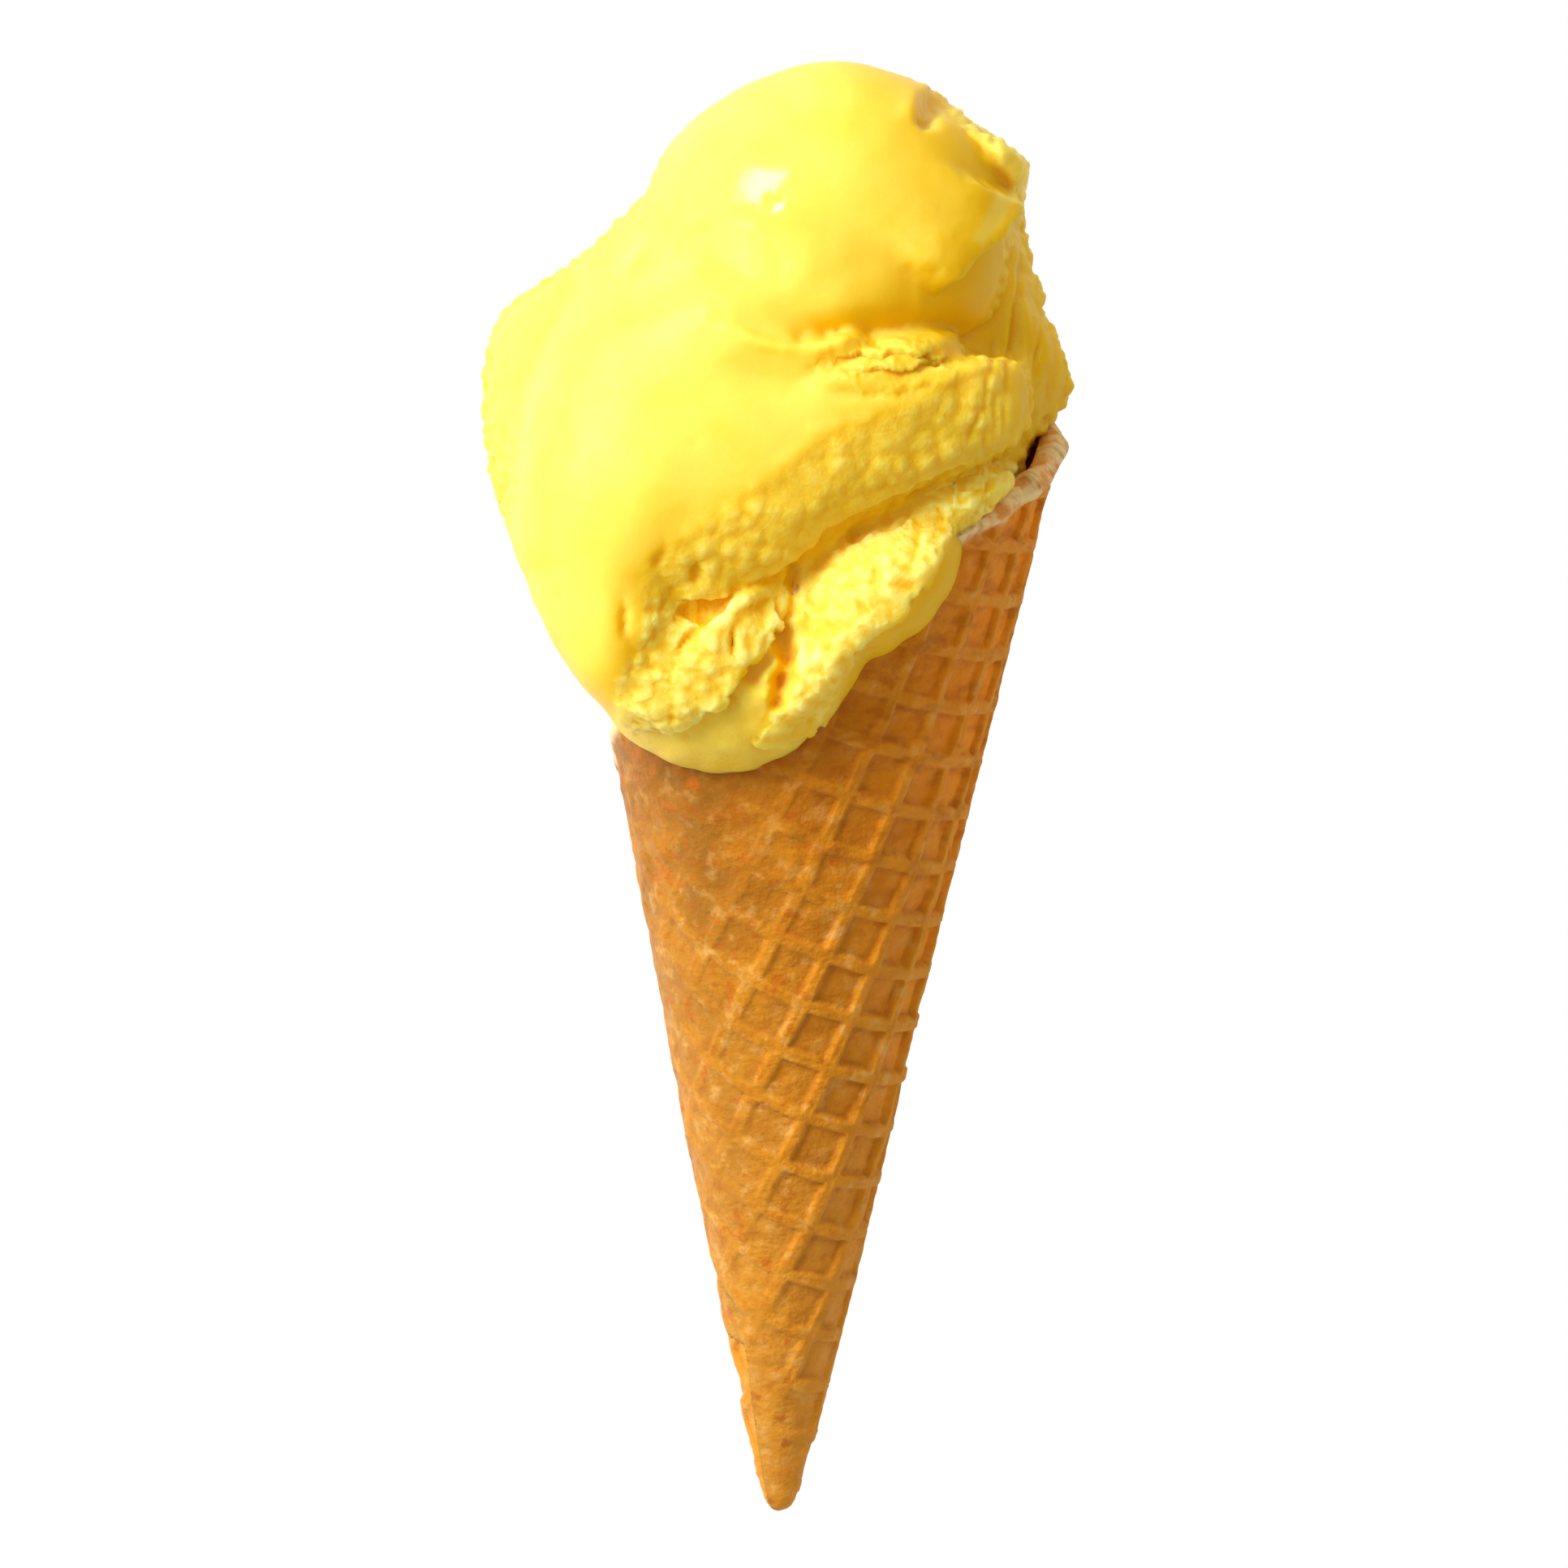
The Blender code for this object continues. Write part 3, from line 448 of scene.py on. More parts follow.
def outlineTable(outline, steps=720, soft=12):
    # an outline's middle, and its distance from there at even turns, smoothed over the nearest ones
    points = np.array(outline, float)
    middle = points.mean(axis=0)
    across = points - middle
    angles = np.arctan2(across[:, 1], across[:, 0])
    order = np.argsort(angles)
    turns = np.linspace(-math.pi, math.pi, steps + 1)
    table = np.interp(turns, angles[order], np.hypot(*across.T)[order], period=math.tau)
    smoothing = np.hanning(2 * soft + 1)
    smoothing /= smoothing.sum()
    looped = np.concatenate([table[-soft - 1:-1], table, table[1:soft + 1]])
    return middle, turns, np.convolve(looped, smoothing, mode="valid")


# Each scoop seen from above: its outline; how high its widest level is, how far it rises above that and
# reaches below; how its top leans; how boxy it is, where 2 is round; how far it melts into the scoops
# before it, and where it melts further, each by a point, a reach and how much; flat faces cut on it, each
# by a point and its outward direction; and whether the wafer's wall holds it in.
def scooped(outline, heights, melt, lean=(0, 0), boxy=2.1, cuts=(), meltMore=(), inCone=False):
    return {
        "table": outlineTable(outline), "heights": heights, "melt": melt, "lean": lean, "boxy": boxy,
        "cuts": cuts, "meltMore": meltMore, "inCone": inCone}


scoops = {
    "core": scooped(
        [(31, 48), (23, 74), (-2, 83), (-23.8, 70.8), (-33.5, 46), (-27, 20), (-4, 8), (22, 22)],
        heights=(40, 24, 43), boxy=2.0, melt=0, inCone=True),
    "leftBack": scooped(
        [(-12, 81.5), (-14.4, 77.4), (-16.6, 73.8), (-20.8, 70.5), (-26.6, 67.3), (-32.2, 64.9),
         (-36.3, 62), (-38.5, 57.5), (-39.2, 53.5), (-39, 48.5), (-38.5, 43), (-37.5, 39), (-33.5, 32),
         (-28.5, 27), (-12, 30), (-5, 45), (-7, 70.5)],
        heights=(38, 23, 26), lean=(0.1, 0), melt=3, inCone=True),
    "rightBack": scooped(
        [(19.5, 91), (23.5, 86.5), (29, 83), (31, 82), (32, 79.8), (30.7, 76), (31.3, 72), (32.2, 67),
         (33.8, 61.5), (36.5, 56), (37.8, 52), (35.5, 48.5), (32, 44.5), (28, 37), (19.5, 34.5),
         (10, 49.5), (9, 71), (12, 87)],
        heights=(35, 17, 22), lean=(-0.12, 0), boxy=2.3, melt=2.5, inCone=True),
    "slab": scooped(
        [(6.5, 55.5), (-0.5, 57.7), (-6.5, 60.5), (-12, 63.5), (-18, 65.5), (-24, 65), (-29, 60.5),
         (-32, 55), (-33.5, 48.5), (-34.2, 42.5), (-33.5, 36), (-32, 30), (-28.8, 25.5), (-23.5, 23),
         (-17.5, 23), (-9, 23), (-4, 24), (2.5, 27.5), (9, 33), (17, 37), (23.5, 40.5), (29.5, 44),
         (32, 47), (31.5, 52), (29, 56), (25.5, 57), (22, 54), (14, 52)],
        heights=(53, 20.5, 26), lean=(0.1, -0.08), boxy=3.1, melt=1.5, meltMore=[((29, 57), 7, 7)],
        cuts=[((4, 41.2, 73.3), (0.05, -0.12, 0.99)), ((5.4, 39.4, 73.1), (0.2, -0.36, 0.91)),
              ((6.5, 37.3, 72.2), (0.35, -0.58, 0.74)), ((21, 54, 69.8), (0.5, -0.1, 0.86))]),
    "slabTail": scooped(
        [(-32.5, 42.5), (-32.6, 34), (-31, 27), (-30.1, 22.5), (-28.3, 19), (-25.7, 15.6), (-21.8, 11),
         (-20, 12), (-20, 18.5), (-17.5, 25.5), (-12, 34), (-12, 47), (-27.5, 52)],
        heights=(46, 22, 24), lean=(0.1, 0.1), boxy=2.2, melt=10),
    "neck": scooped(
        [(-5, 66), (-11, 68), (-16, 66), (-19, 61), (-17.5, 55), (-10, 51.5), (-3, 53), (0, 58),
         (-1.5, 63)],
        heights=(50, 20.5, 14), lean=(0.1, -0.12), melt=8),
    "cheek": scooped(
        [(-27, 26), (-22, 30), (-15.5, 28.5), (-14, 23), (-15.5, 16), (-20, 12.5), (-26, 15)],
        heights=(54, 14.5, 12), lean=(-0.02, 0.12), boxy=2.4, melt=6),
    "between": scooped(
        [(-7, 26), (-2, 30), (5, 31), (8, 26), (5, 18), (1.5, 11), (-3, 10), (-6, 16)],
        heights=(50, 12, 12), lean=(0, 0.15), boxy=2.5, melt=2),
    "rightLobe": scooped(
        [(0.8, 24), (2.5, 28.8), (9, 32.5), (15, 34.5), (20.5, 34), (23, 31.5), (22.5, 28), (20, 23),
         (15.5, 18.5), (11, 16), (7.5, 13.5), (3.5, 12), (1, 17.5)],
        heights=(54, 12.5, 20), lean=(0.12, -0.05), boxy=2.3, melt=1.2),
    "leftLobe": scooped(
        [(-26, 20), (-23, 25), (-15, 25.5), (-9, 24), (-2.5, 24.5), (1.5, 27.5), (1, 20.5), (-1, 14),
         (-4, 9), (-11, 7), (-17.5, 7), (-21, 8.5), (-23.5, 11.5), (-26, 15.5)],
        heights=(54.5, 12.0, 20), lean=(-0.04, 0.13), boxy=2.8, melt=2,
        meltMore=[((-22, 21), 6, 5), ((-23, 13), 4, 3)]),
    "lowLobe": scooped(
        [(-22.5, 10.5), (-21, 6.5), (-17, 4), (-11.5, 2), (-7, 1.5), (-1.5, 3), (3.5, 6), (6.5, 9),
         (8.5, 13.5), (5.5, 18.5), (-2.5, 17.5), (-12, 17), (-19.5, 14.5)],
        heights=(51, 11, 16), lean=(0.2, 0.48), boxy=2.3, melt=1.5,
        meltMore=[((6, 14), 5, 6), ((-20, 9), 4, 2)]),
    "ball": scooped(
        [(-1.5, 91.7), (-7.8, 88.8), (-12.4, 85.5), (-15.6, 81.8), (-17.5, 77), (-18, 72), (-16.5, 66),
         (-13, 61.5), (-7, 58), (3.5, 55.5), (14, 55), (21.5, 56), (27, 59), (29, 65), (29.5, 71.5),
         (29, 77.5), (27, 82), (23.5, 86), (19.5, 89.5), (14, 92), (6, 93.5)],
        heights=(49, 23.5, 27), boxy=2.1, melt=0.8, meltMore=[((-12, 60), 8, 7), ((-3, 56.5), 6, 4)]),
    "ballFoot": scooped(
        [(-13.5, 66), (-14, 60.5), (-10, 55.5), (-3, 53), (4, 53.5), (8.5, 56), (14, 57.5), (17, 61),
         (10, 66.5), (-1, 69), (-8, 69)],
        heights=(50, 21.2, 12), lean=(0.05, 0.1), boxy=2.5, melt=8),
    "crest": scooped(
        [(21.5, 85.6), (24, 83.9), (26.5, 82.3), (28.8, 81.4), (30.6, 81), (31, 79), (30, 77.2),
         (27.5, 78.8), (24, 82)],
        heights=(53, 6.8, 9), lean=(-0.15, 0.1), boxy=2.4, melt=1.8),
    "ledge": scooped(
        [(-9.5, 59.5), (-3.7, 57.2), (2, 56.4), (6, 57), (10.5, 58.3), (12, 56), (9.5, 53.8), (6.8, 50.6),
         (3.7, 49.4), (-1.5, 49.8), (-5.5, 51.2), (-8.5, 54.3)],
        heights=(64.5, 7.9, 14), lean=(0.02, 0), boxy=2.3, melt=0.8,
        meltMore=[((-10, 55), 5, 4), ((-2.5, 58.5), 6, 3.5)]),
    "flakes": scooped(
        [(9, 58.5), (14.7, 58.8), (20, 57.8), (23.5, 55), (22, 51.5), (17, 49), (10, 48.6), (7, 51)],
        heights=(60, 7.5, 12), lean=(-0.1, -0.1), boxy=2.6, melt=1.8),
    "tornFlap": scooped(
        [(14, 32), (17, 36.5), (21.5, 38.3), (25.5, 40), (29.2, 40.2), (29.8, 38.8), (28, 36.8),
         (25, 34.8), (22.5, 32.8), (19.5, 30)],
        heights=(56.5, 3.6, 7), lean=(-0.25, 0), boxy=2.6, melt=0.8, meltMore=[((16, 33), 5, 3)]),
}

# Torn places, each with its depth and a route of points with half the width there
tears = [
    (1.7, [(-20.8, 24, 0.2), (-20.4, 21.4, 0.45), (-20.4, 19, 0.5), (-18.8, 16, 0.2)]),
    (1.0, [(-15, 30.5, 0.35), (-15.8, 27.3, 0.5)]),
    (1.0, [(-11.6, 27.3, 0.8), (-10.9, 26.2, 1.0)]),
    (4.2, [(0.3, 17, 1.4), (0, 14, 2.1), (-0.6, 11.5, 1.2), (-1.3, 9.4, 0.4)]),
    (1.8, [(1.6, 27.2, 0.7), (0.9, 23, 0.8), (0.2, 18, 1.2)]),
    (1.6, [(-2, 16.2, 0.9), (-4.2, 13.9, 1.5), (-3, 12.8, 0.8)]),
    (1.7, [(-8.1, 23.2, 0.8), (-10.6, 21.8, 1.4), (-12.8, 21.8, 0.9)]),
    (1.5, [(-8.1, 23.2, 0.7), (-10.5, 20.2, 0.7), (-12.4, 18.2, 0.7), (-13.6, 17, 0.4)]),
    (1.8, [(-6.1, 19.8, 0.4), (-6.9, 18.4, 0.7), (-6.6, 16.8, 0.4)]),
    (1.9, [(20.6, 89, 1.4), (19.3, 87.1, 2.6), (18.3, 85, 1.4)]),
    (1.0, [(24, 41, 0.4), (17, 37, 0.5), (8.5, 33.5, 0.6), (2.5, 28.6, 0.7), (-1.8, 26, 0.6),
          (-5, 25, 0.6), (-8.1, 23.3, 0.6)]),
    (0.4, [(11, 57, 0.4), (13.2, 55, 0.8), (11, 53, 0.7), (8.5, 53.2, 0.5)]),
    (0.3, [(14.5, 54.6, 0.5), (18, 54.4, 0.7), (21.5, 54.8, 0.5)]),
    (0.4, [(12, 52, 0.5), (16, 51.8, 0.8), (20.5, 52, 0.6)]),
    (0.6, [(6.5, 50.4, 0.4), (10, 49.7, 0.7), (15, 49.5, 0.8), (20, 50.6, 0.5)]),
    (0.5, [(-2.2, 74.5, 0.3), (-1.2, 73.7, 0.6), (0, 74.2, 0.3)]),
    (1.0, [(22.5, 36, 0.3), (25, 37.3, 0.5), (27, 37.8, 0.3)]),
    (0.7, [(10, 22.5, 0.5), (10.6, 22, 0.4)]),
    (1.5, [(16.4, 34, 0.3), (17.3, 31.8, 0.6), (17, 30, 0.3)]),
    (1.2, [(19.3, 35.5, 0.3), (20.3, 33.8, 0.5), (20.1, 32, 0.3)]),
    (0.6, [(4, 22, 0.4), (4.4, 21.6, 0.3)]),
]


def softUnion(first, second, melt):
    # the nearer of two distances, melted together where they are about the same
    melt = np.maximum(melt, 0.01)
    share = np.clip(0.5 + 0.5 * (second - first) / melt, 0, 1)
    return second + (first - second) * share - melt * share * (1 - share)


def scoopDistance(points, scoop, outside):
    # about how far points lie outside a scoop, along the line from its middle
    middle, turns, table = scoop["table"]
    level, rise, depth = scoop["heights"]
    boxy = scoop["boxy"]
    x, y = (points[:, :2] - middle).T
    z = points[:, 2] - level - scoop["lean"][0] * x - scoop["lean"][1] * y
    across = np.hypot(x, y) / np.interp(np.arctan2(y, x), turns, table)
    up = np.abs(z) / np.where(z > 0, rise, depth)
    share = np.maximum((across ** boxy + up ** boxy) ** (1 / boxy), 0.05)
    distance = np.sqrt(x * x + y * y + z * z) * (1 - 1 / share)
    for place, outward in scoop["cuts"]:
        beyond = (points - place) @ outward
        distance = -softUnion(-distance, -beyond, body["cutRounding"])
    return np.maximum(distance, outside) if scoop["inCone"] else distance


def scoopsDistance(points):
    # about how far points lie outside all the scoops together
    together = np.full(len(points), farOff)
    outside = outsideHollow(points)
    for scoop in scoops.values():
        melt = scoop["melt"] + sum(
            more * nearPlace(points, place, reach) for place, reach, more in scoop["meltMore"])
        together = softUnion(together, scoopDistance(points, scoop, outside), melt)
    return together


def raggedly(points, amount, size, seed):
    # the places seen from above, shifted to and fro, so that what is drawn there gets torn edges
    coarse, fine = [
        np.stack([lumps(points, across, first), lumps(points, across, first + 100)], axis=1)
        for across, first in ((size, seed), (size / 2.7, seed + 1))]
    return points[:, :2] + amount * (coarse + 0.45 * fine)


def tearDepth(points):
    # how deep the torn places dig in
    deepest = np.zeros(len(points))
    for number, (deep, route) in enumerate(tears):
        xy = raggedly(points, 0.45, 2.0, 50 + number)
        for start, end in zip(route, route[1:]):
            first, way = np.array(start[:2]), np.array(end[:2]) - np.array(start[:2])
            share = np.clip((xy - first) @ way / (way @ way), 0, 1)
            gap = np.linalg.norm(xy - first - share[:, None] * way, axis=1)
            half = start[2] + (end[2] - start[2]) * share
            deepest = np.maximum(deepest, deep * (1 - faded(gap, 0.1 * half, 1.25 * half)))
    return deepest


def addScoop(bm, scoop):
    # a ball drawn out to a scoop's outline and heights
    middle, turns, table = scoop["table"]
    level, rise, depth = scoop["heights"]
    power = 2 / scoop["boxy"]
    ball = bmesh.ops.create_uvsphere(bm, u_segments=64, v_segments=32, radius=1.0)
    for vert in ball["verts"]:
        turn = math.atan2(vert.co.y, vert.co.x)
        reach = np.interp(turn, turns, table) * min(vert.co.xy.length, 1.0) ** power
        x, y = reach * math.cos(turn), reach * math.sin(turn)
        height = math.copysign(abs(vert.co.z) ** power, vert.co.z) * (rise if vert.co.z > 0 else depth)
        lean = scoop["lean"][0] * x + scoop["lean"][1] * y
        vert.co = (middle[0] + x, middle[1] + y, level + height + lean)


def movedOntoScoops(mesh, rounds):
    # draws a mesh near the scoops onto their melted outside
    values = places(mesh)
    nudge, part, furthest = 0.05, 0.8, 1.5
    for _ in range(rounds):
        distance = scoopsDistance(values)
        ahead = [scoopsDistance(values + nudge * axis) for axis in np.eye(3)]
        slope = (np.stack(ahead, axis=1) - distance[:, None]) / nudge
        steepness = np.maximum((slope ** 2).sum(axis=1), 0.3)
        values -= part * np.clip(distance / steepness, -furthest, furthest)[:, None] * slope
    setPlaces(mesh, values)


# Marks that the scoop and the tearing left, seen from above. Each stands up by "up" within "upReach" of its
# route's left side and sinks by "down" within "downReach" of its right side; a ridge, or a groove where
# its height is below 0, is the same on both sides.
def ridge(route, height, reach, wavy):
    return {"route": route, "left": (height, reach), "right": (height, reach), "wavy": wavy}


def step(route, up, upReach, down, downReach, wavy):
    return {"route": route, "left": (up, upReach), "right": (-down, downReach), "wavy": wavy}


marks = [
    ridge([(24.5, 54.5), (21.5, 52), (14, 47), (3.5, 43.5), (-1.5, 39), (-10, 33.5), (-17, 27.5)],
          0.1, 1.2, 1.1),
    step([(19, 62), (21, 65), (23, 67.3), (25.4, 70), (28, 74), (29, 76)], 2.6, 7.0, 0.2, 2.0, 0.35),
    ridge([(23.5, 67.8), (27, 72.3), (28.6, 75.2), (30.5, 79), (31.3, 82)], 0.6, 0.9, 0.3),
    ridge([(29.4, 75), (29.2, 69.2), (28.7, 65.7), (27.6, 62.1), (26.2, 59.3), (24.1, 57.5), (21, 57)],
          -0.8, 0.6, 0.25),
    ridge([(19, 88.5), (22.5, 85.5), (25.5, 81.5), (28, 79.5)], -0.45, 0.45, 0.3),
    ridge([(15.2, 83.5), (16, 86.5), (17.2, 88.8), (19, 90), (21.5, 89.8)], 0.35, 1.1, 0.3),
    ridge([(23, 86.8), (25, 84.5), (27, 83.2), (28.5, 82), (31, 82)], 0.6, 1.1, 0.5),
    ridge([(17.2, 59), (17.4, 63.5), (17.1, 68)], 0.16, 1.0, 0.1),
    ridge([(-9, 59), (-3.7, 56.2), (2, 55.2), (6, 55.7), (10.2, 56.9)], 0.35, 0.8, 0.25),
    step([(5.5, 53.5), (9.5, 54.5), (16, 55), (21.5, 54.5)], 0.5, 1.6, 0.5, 0.6, 0.9),
    step([(7, 52), (13, 52.5), (19, 53.5), (21, 54)], 0.5, 1.2, 0.5, 0.5, 0.8),
    step([(-13.5, 23.3), (-12.8, 23.7), (-10.3, 24.5), (-6.9, 24.1)], 0.9, 1.4, 0.4, 0.7, 0.5),
    step([(0.6, 25.4), (-0.9, 23.7), (-0.9, 19.8), (-1.8, 18.6), (-2.4, 16.9), (-4.6, 15.7), (-5.4, 13.9),
          (-6.5, 12), (-7.3, 10.5), (-9.9, 9.6), (-11.6, 7.7), (-15.2, 6.9), (-17.7, 7.5), (-19.6, 6.9)],
         -0.5, 1.2, -0.8, 2.0, 0.8),
    step([(-4.3, 6.3), (-3.9, 4.9), (-0.9, 5.1), (3.6, 6.5), (6.7, 8.5)], 0.5, 2.2, 0.4, 0.9, 0.6),
    step([(7.5, 13), (10, 17.5), (15, 21), (19, 26), (21.5, 32)], 0.35, 2.0, 0.35, 1.2, 0.8),
    ridge([(-26, 65), (-29, 61.5), (-31.5, 56), (-33.5, 50), (-34.5, 42.5), (-35, 34)], -0.4, 1.3, 0.3),
    ridge([(31, 69.5), (30.5, 63.5), (29, 56), (28.5, 48.5)], -0.5, 0.5, 0.3),
    ridge([(34, 67), (33.5, 59.5), (32.5, 52), (31, 46)], -0.5, 0.5, 0.4),
    ridge([(27, 60), (26.5, 54), (25.5, 48), (23, 43)], -0.3, 0.5, 0.5),
    ridge([(-12, 43.3), (-10.9, 43.5)], -0.35, 0.25, 0.1),
]


# Where the surface is torn, seen from above: how soft the area's edge is, how rough and flaky it is, and
# how pale its crumbs are
def tornArea(outline, edge, rough, pale, flaky):
    return {"outline": outline, "edge": edge, "rough": rough, "pale": pale, "flaky": flaky}


areas = {
    "tornFace": tornArea(
        [(26, 54.5), (21.5, 52), (14, 47.5), (3.5, 43.5), (-1.5, 39), (-10, 34), (-16, 28), (-18.5, 24.5),
         (-14, 23), (-3.5, 24.5), (2.5, 28.5), (8.5, 34), (17, 37), (30, 44.5), (29.5, 51.5)],
        edge=4.5, rough=0.85, pale=0.6, flaky=0.15),
    "leftTorn": tornArea(
        [(-17.5, 24), (-13, 23.5), (-3.5, 24.5), (2, 27.5), (1, 20.5), (-2, 17.5), (-6.5, 14),
         (-7.5, 10.5), (-11.5, 7.5), (-17.5, 6.5), (-21.5, 8), (-21.5, 13), (-18.8, 17)],
        edge=1.3, rough=0.9, pale=1.0, flaky=0.45),
    "rightTorn": tornArea(
        [(2, 24.5), (3.5, 29), (10, 33), (18, 37), (29, 40), (22, 33), (19, 27), (16, 22.5), (11.5, 18.5),
         (7.5, 13.5), (6.5, 9), (3.5, 7), (-1, 5.5), (-4, 5.5), (-2, 9), (1, 11), (1.5, 18)],
        edge=2, rough=0.9, pale=1.0, flaky=0.45),
    "flap": tornArea(
        [(14, 33), (20, 39), (27, 41.5), (31.5, 41.5), (30.5, 37), (24, 33.5), (19, 29.5)],
        edge=1, rough=1.0, pale=0.8, flaky=1.0),
    "low": tornArea(
        [(-22, 8.5), (-17.5, 7), (-11.5, 7.5), (-7.5, 10), (-6.5, 13.5), (-2, 10), (-4, 5.5), (3.5, 6),
         (7, 9), (3.5, 5), (-1.5, 2), (-8, 1), (-13, 2), (-19, 4.5)],
        edge=1.5, rough=0.3, pale=1.0, flaky=0.1),
    "rightRear": tornArea(
        [(31, 73.5), (36, 62), (40, 52), (37, 44), (30.5, 42.5), (24, 40), (26.5, 55), (28, 66.5)],
        edge=3, rough=0.4, pale=0.1, flaky=0.0),
    "leftRear": tornArea(
        [(-16, 80), (-24, 75), (-32, 70), (-40, 62), (-42, 53.5), (-41, 45), (-36, 33), (-35, 42.5),
         (-33.5, 50), (-31.5, 56.5), (-29, 61.5), (-26, 65.5), (-17.5, 71)],
        edge=2, rough=0.3, pale=0.5, flaky=0.0),
    "ledge": tornArea(
        [(5, 56), (9.5, 57), (21, 56.5), (25.5, 54.5), (21.5, 51), (14, 48.5), (5.5, 49.5), (3, 53)],
        edge=1.5, rough=0.4, pale=0.35, flaky=0.5),
    "lip": tornArea(
        [(24, 69.5), (26.2, 73), (28, 77), (29.5, 82), (32.5, 83), (32.5, 79.5), (30, 76), (28, 72),
         (25.3, 68.5)],
        edge=1, rough=0.2, pale=1.0, flaky=0.2),
    "crest": tornArea(
        [(22, 89), (25, 87), (29.5, 84.5), (32.5, 82), (32.5, 78), (31.5, 76), (28, 78.5), (24, 83),
         (21.5, 86)],
        edge=1.5, rough=0.3, pale=1.0, flaky=0.0),
}
grain = {
    "waves": [(0.13, 9), (0.065, 4.5)], "ripples": [(0.035, 2.6)], "patches": [(1, 5.5)],
    "patchesFrom": (-0.55, 0.35), "knobSize": 2.8, "knobHeight": 0.8, "tornLumps": [(0.4, 4.2)],
    "largeFlakes": [(1, 4.6), (0.5, 2.3), (0.25, 1.15)], "largeFlake": 0.45, "flakesSunk": 0.35,
    "smallFlakes": [(1, 2.6), (0.5, 1.3), (0.25, 0.65)], "smallFlake": 0.25,
    "pitSize": 1.3, "pitDepth": 0.22, "tornBumps": [(0.14, 1.1), (0.07, 0.55)],
    "serration": 1.0, "serrationSize": 1.9, "serrationTall": (1, 1, 0.3), "serratedBumps": [(0.25, 1.0)],
    "drawnLines": [(0.3, 1.3), (0.16, 0.6)], "drawnOut": (1, 0.13, 0.3),
    "drops": [(0.15, 1.6), (0.09, 0.9)], "dropsAt": (-11, 68), "dropsReach": (6.5, 9),
    "shineAt": (-1.0, 75.4), "shineReach": (4.0, 3.6), "shineAbove": 40, "lightSide": (-0.55, 0.3, 0.78),
}


def areaShare(points, setting):
    # how much of a setting the torn areas give each point
    share = np.zeros(len(points))
    for area in areas.values():
        share = np.maximum(share, area[setting] * insideArea(points[:, :2], area["outline"], area["edge"]))
    return share


def wetLumps(points):
    # melted drops on the ball's left
    return nearPlace(points, grain["dropsAt"], grain["dropsReach"]) * uneven(points, grain["drops"], 501)


def serratedShare(points, facing):
    # the rough outer edges at the left and right, which the scoop's rim left behind
    sideways = 1 - faded(np.abs(facing[:, 2]), 0.1, 0.45)
    left = faded(-points[:, 0], 12, 20) * faded(points[:, 1], 30, 40) * (1 - faded(points[:, 1], 80, 88))
    right = faded(points[:, 0], 12, 20) * faded(points[:, 1], 36, 44)
    return sideways * (left + right) * faded(points[:, 2], 18, 30)


def markHeight(points):
    # how far the marks raise or sink each point, fading out at their ends
    total = np.zeros(len(points))
    for number, mark in enumerate(marks):
        xy = raggedly(points, mark["wavy"], 2.4, 80 + number)
        distance, side, along = nearestOnRoute(xy, mark["route"])
        ends = faded(along, 0, 0.25) * (1 - faded(along, 0.85, 1))
        height, reach = [
            np.where(side > 0, left, right) for left, right in zip(mark["left"], mark["right"])]
        total += height * ends * bell(distance, reach)
    return total


def drawnLines(points):
    # fine lines that the scoop drew across the right-hand side
    there = insideArea(points[:, :2], areas["rightRear"]["outline"], 6) * (1 - faded(points[:, 1], 68, 75))
    return there * uneven(points * grain["drawnOut"], grain["drawnLines"], 401)


def hollowness(mesh, rounds):
    # how far each point lies below the average of its surroundings, in millimetres
    pairs = np.empty(len(mesh.edges) * 2, np.int64)
    mesh.edges.foreach_get("vertices", pairs)
    first, second = pairs.reshape(-1, 2).T
    count = np.bincount(pairs, minlength=len(mesh.vertices)).astype(float)
    start = places(mesh)
    average = start.copy()
    for _ in range(rounds):
        total = np.stack([
            np.bincount(first, average[second, axis], len(average))
            + np.bincount(second, average[first, axis], len(average)) for axis in range(3)], axis=1)
        average = total / count[:, None]
    return ((average - start) * normals(mesh)).sum(axis=1)


def coarseGrain(values, facing, upward, torn, serrated, patchy):
    # how far the surface stands out at its marks, waves, knobs, flakes and serrated edges
    amount = upward * (markHeight(values) + drawnLines(values)) + wetLumps(values)
    amount += uneven(values, grain["waves"], 11) + uneven(values, grain["ripples"], 21)
    knobby = (0.35 + 0.65 * patchy) * (knobs(values, grain["knobSize"], 31) - 0.45)
    amount += torn * (grain["knobHeight"] * knobby + uneven(values, grain["tornLumps"], 33))
    flakes = grain["largeFlake"] * faded(uneven(values, grain["largeFlakes"], 431), -0.14, 0.14)
    flakes += grain["smallFlake"] * faded(uneven(values, grain["smallFlakes"], 441), -0.12, 0.12)
    amount += areaShare(values, "flaky") * np.maximum(upward, 0.35) * (flakes - grain["flakesSunk"])
    edges = knobs(values * grain["serrationTall"], grain["serrationSize"], 41) - 0.35
    return amount + serrated * grain["serration"] * edges


def fineGrain(values, torn, serrated, patchy):
    # pits and bumps where it is torn or serrated
    pits = patchy * grain["pitDepth"] * (knobs(values, grain["pitSize"], 61) - 0.5)
    pits += uneven(values, grain["tornBumps"], 71)
    return torn ** 3 * pits + serrated * uneven(values, grain["serratedBumps"], 72)


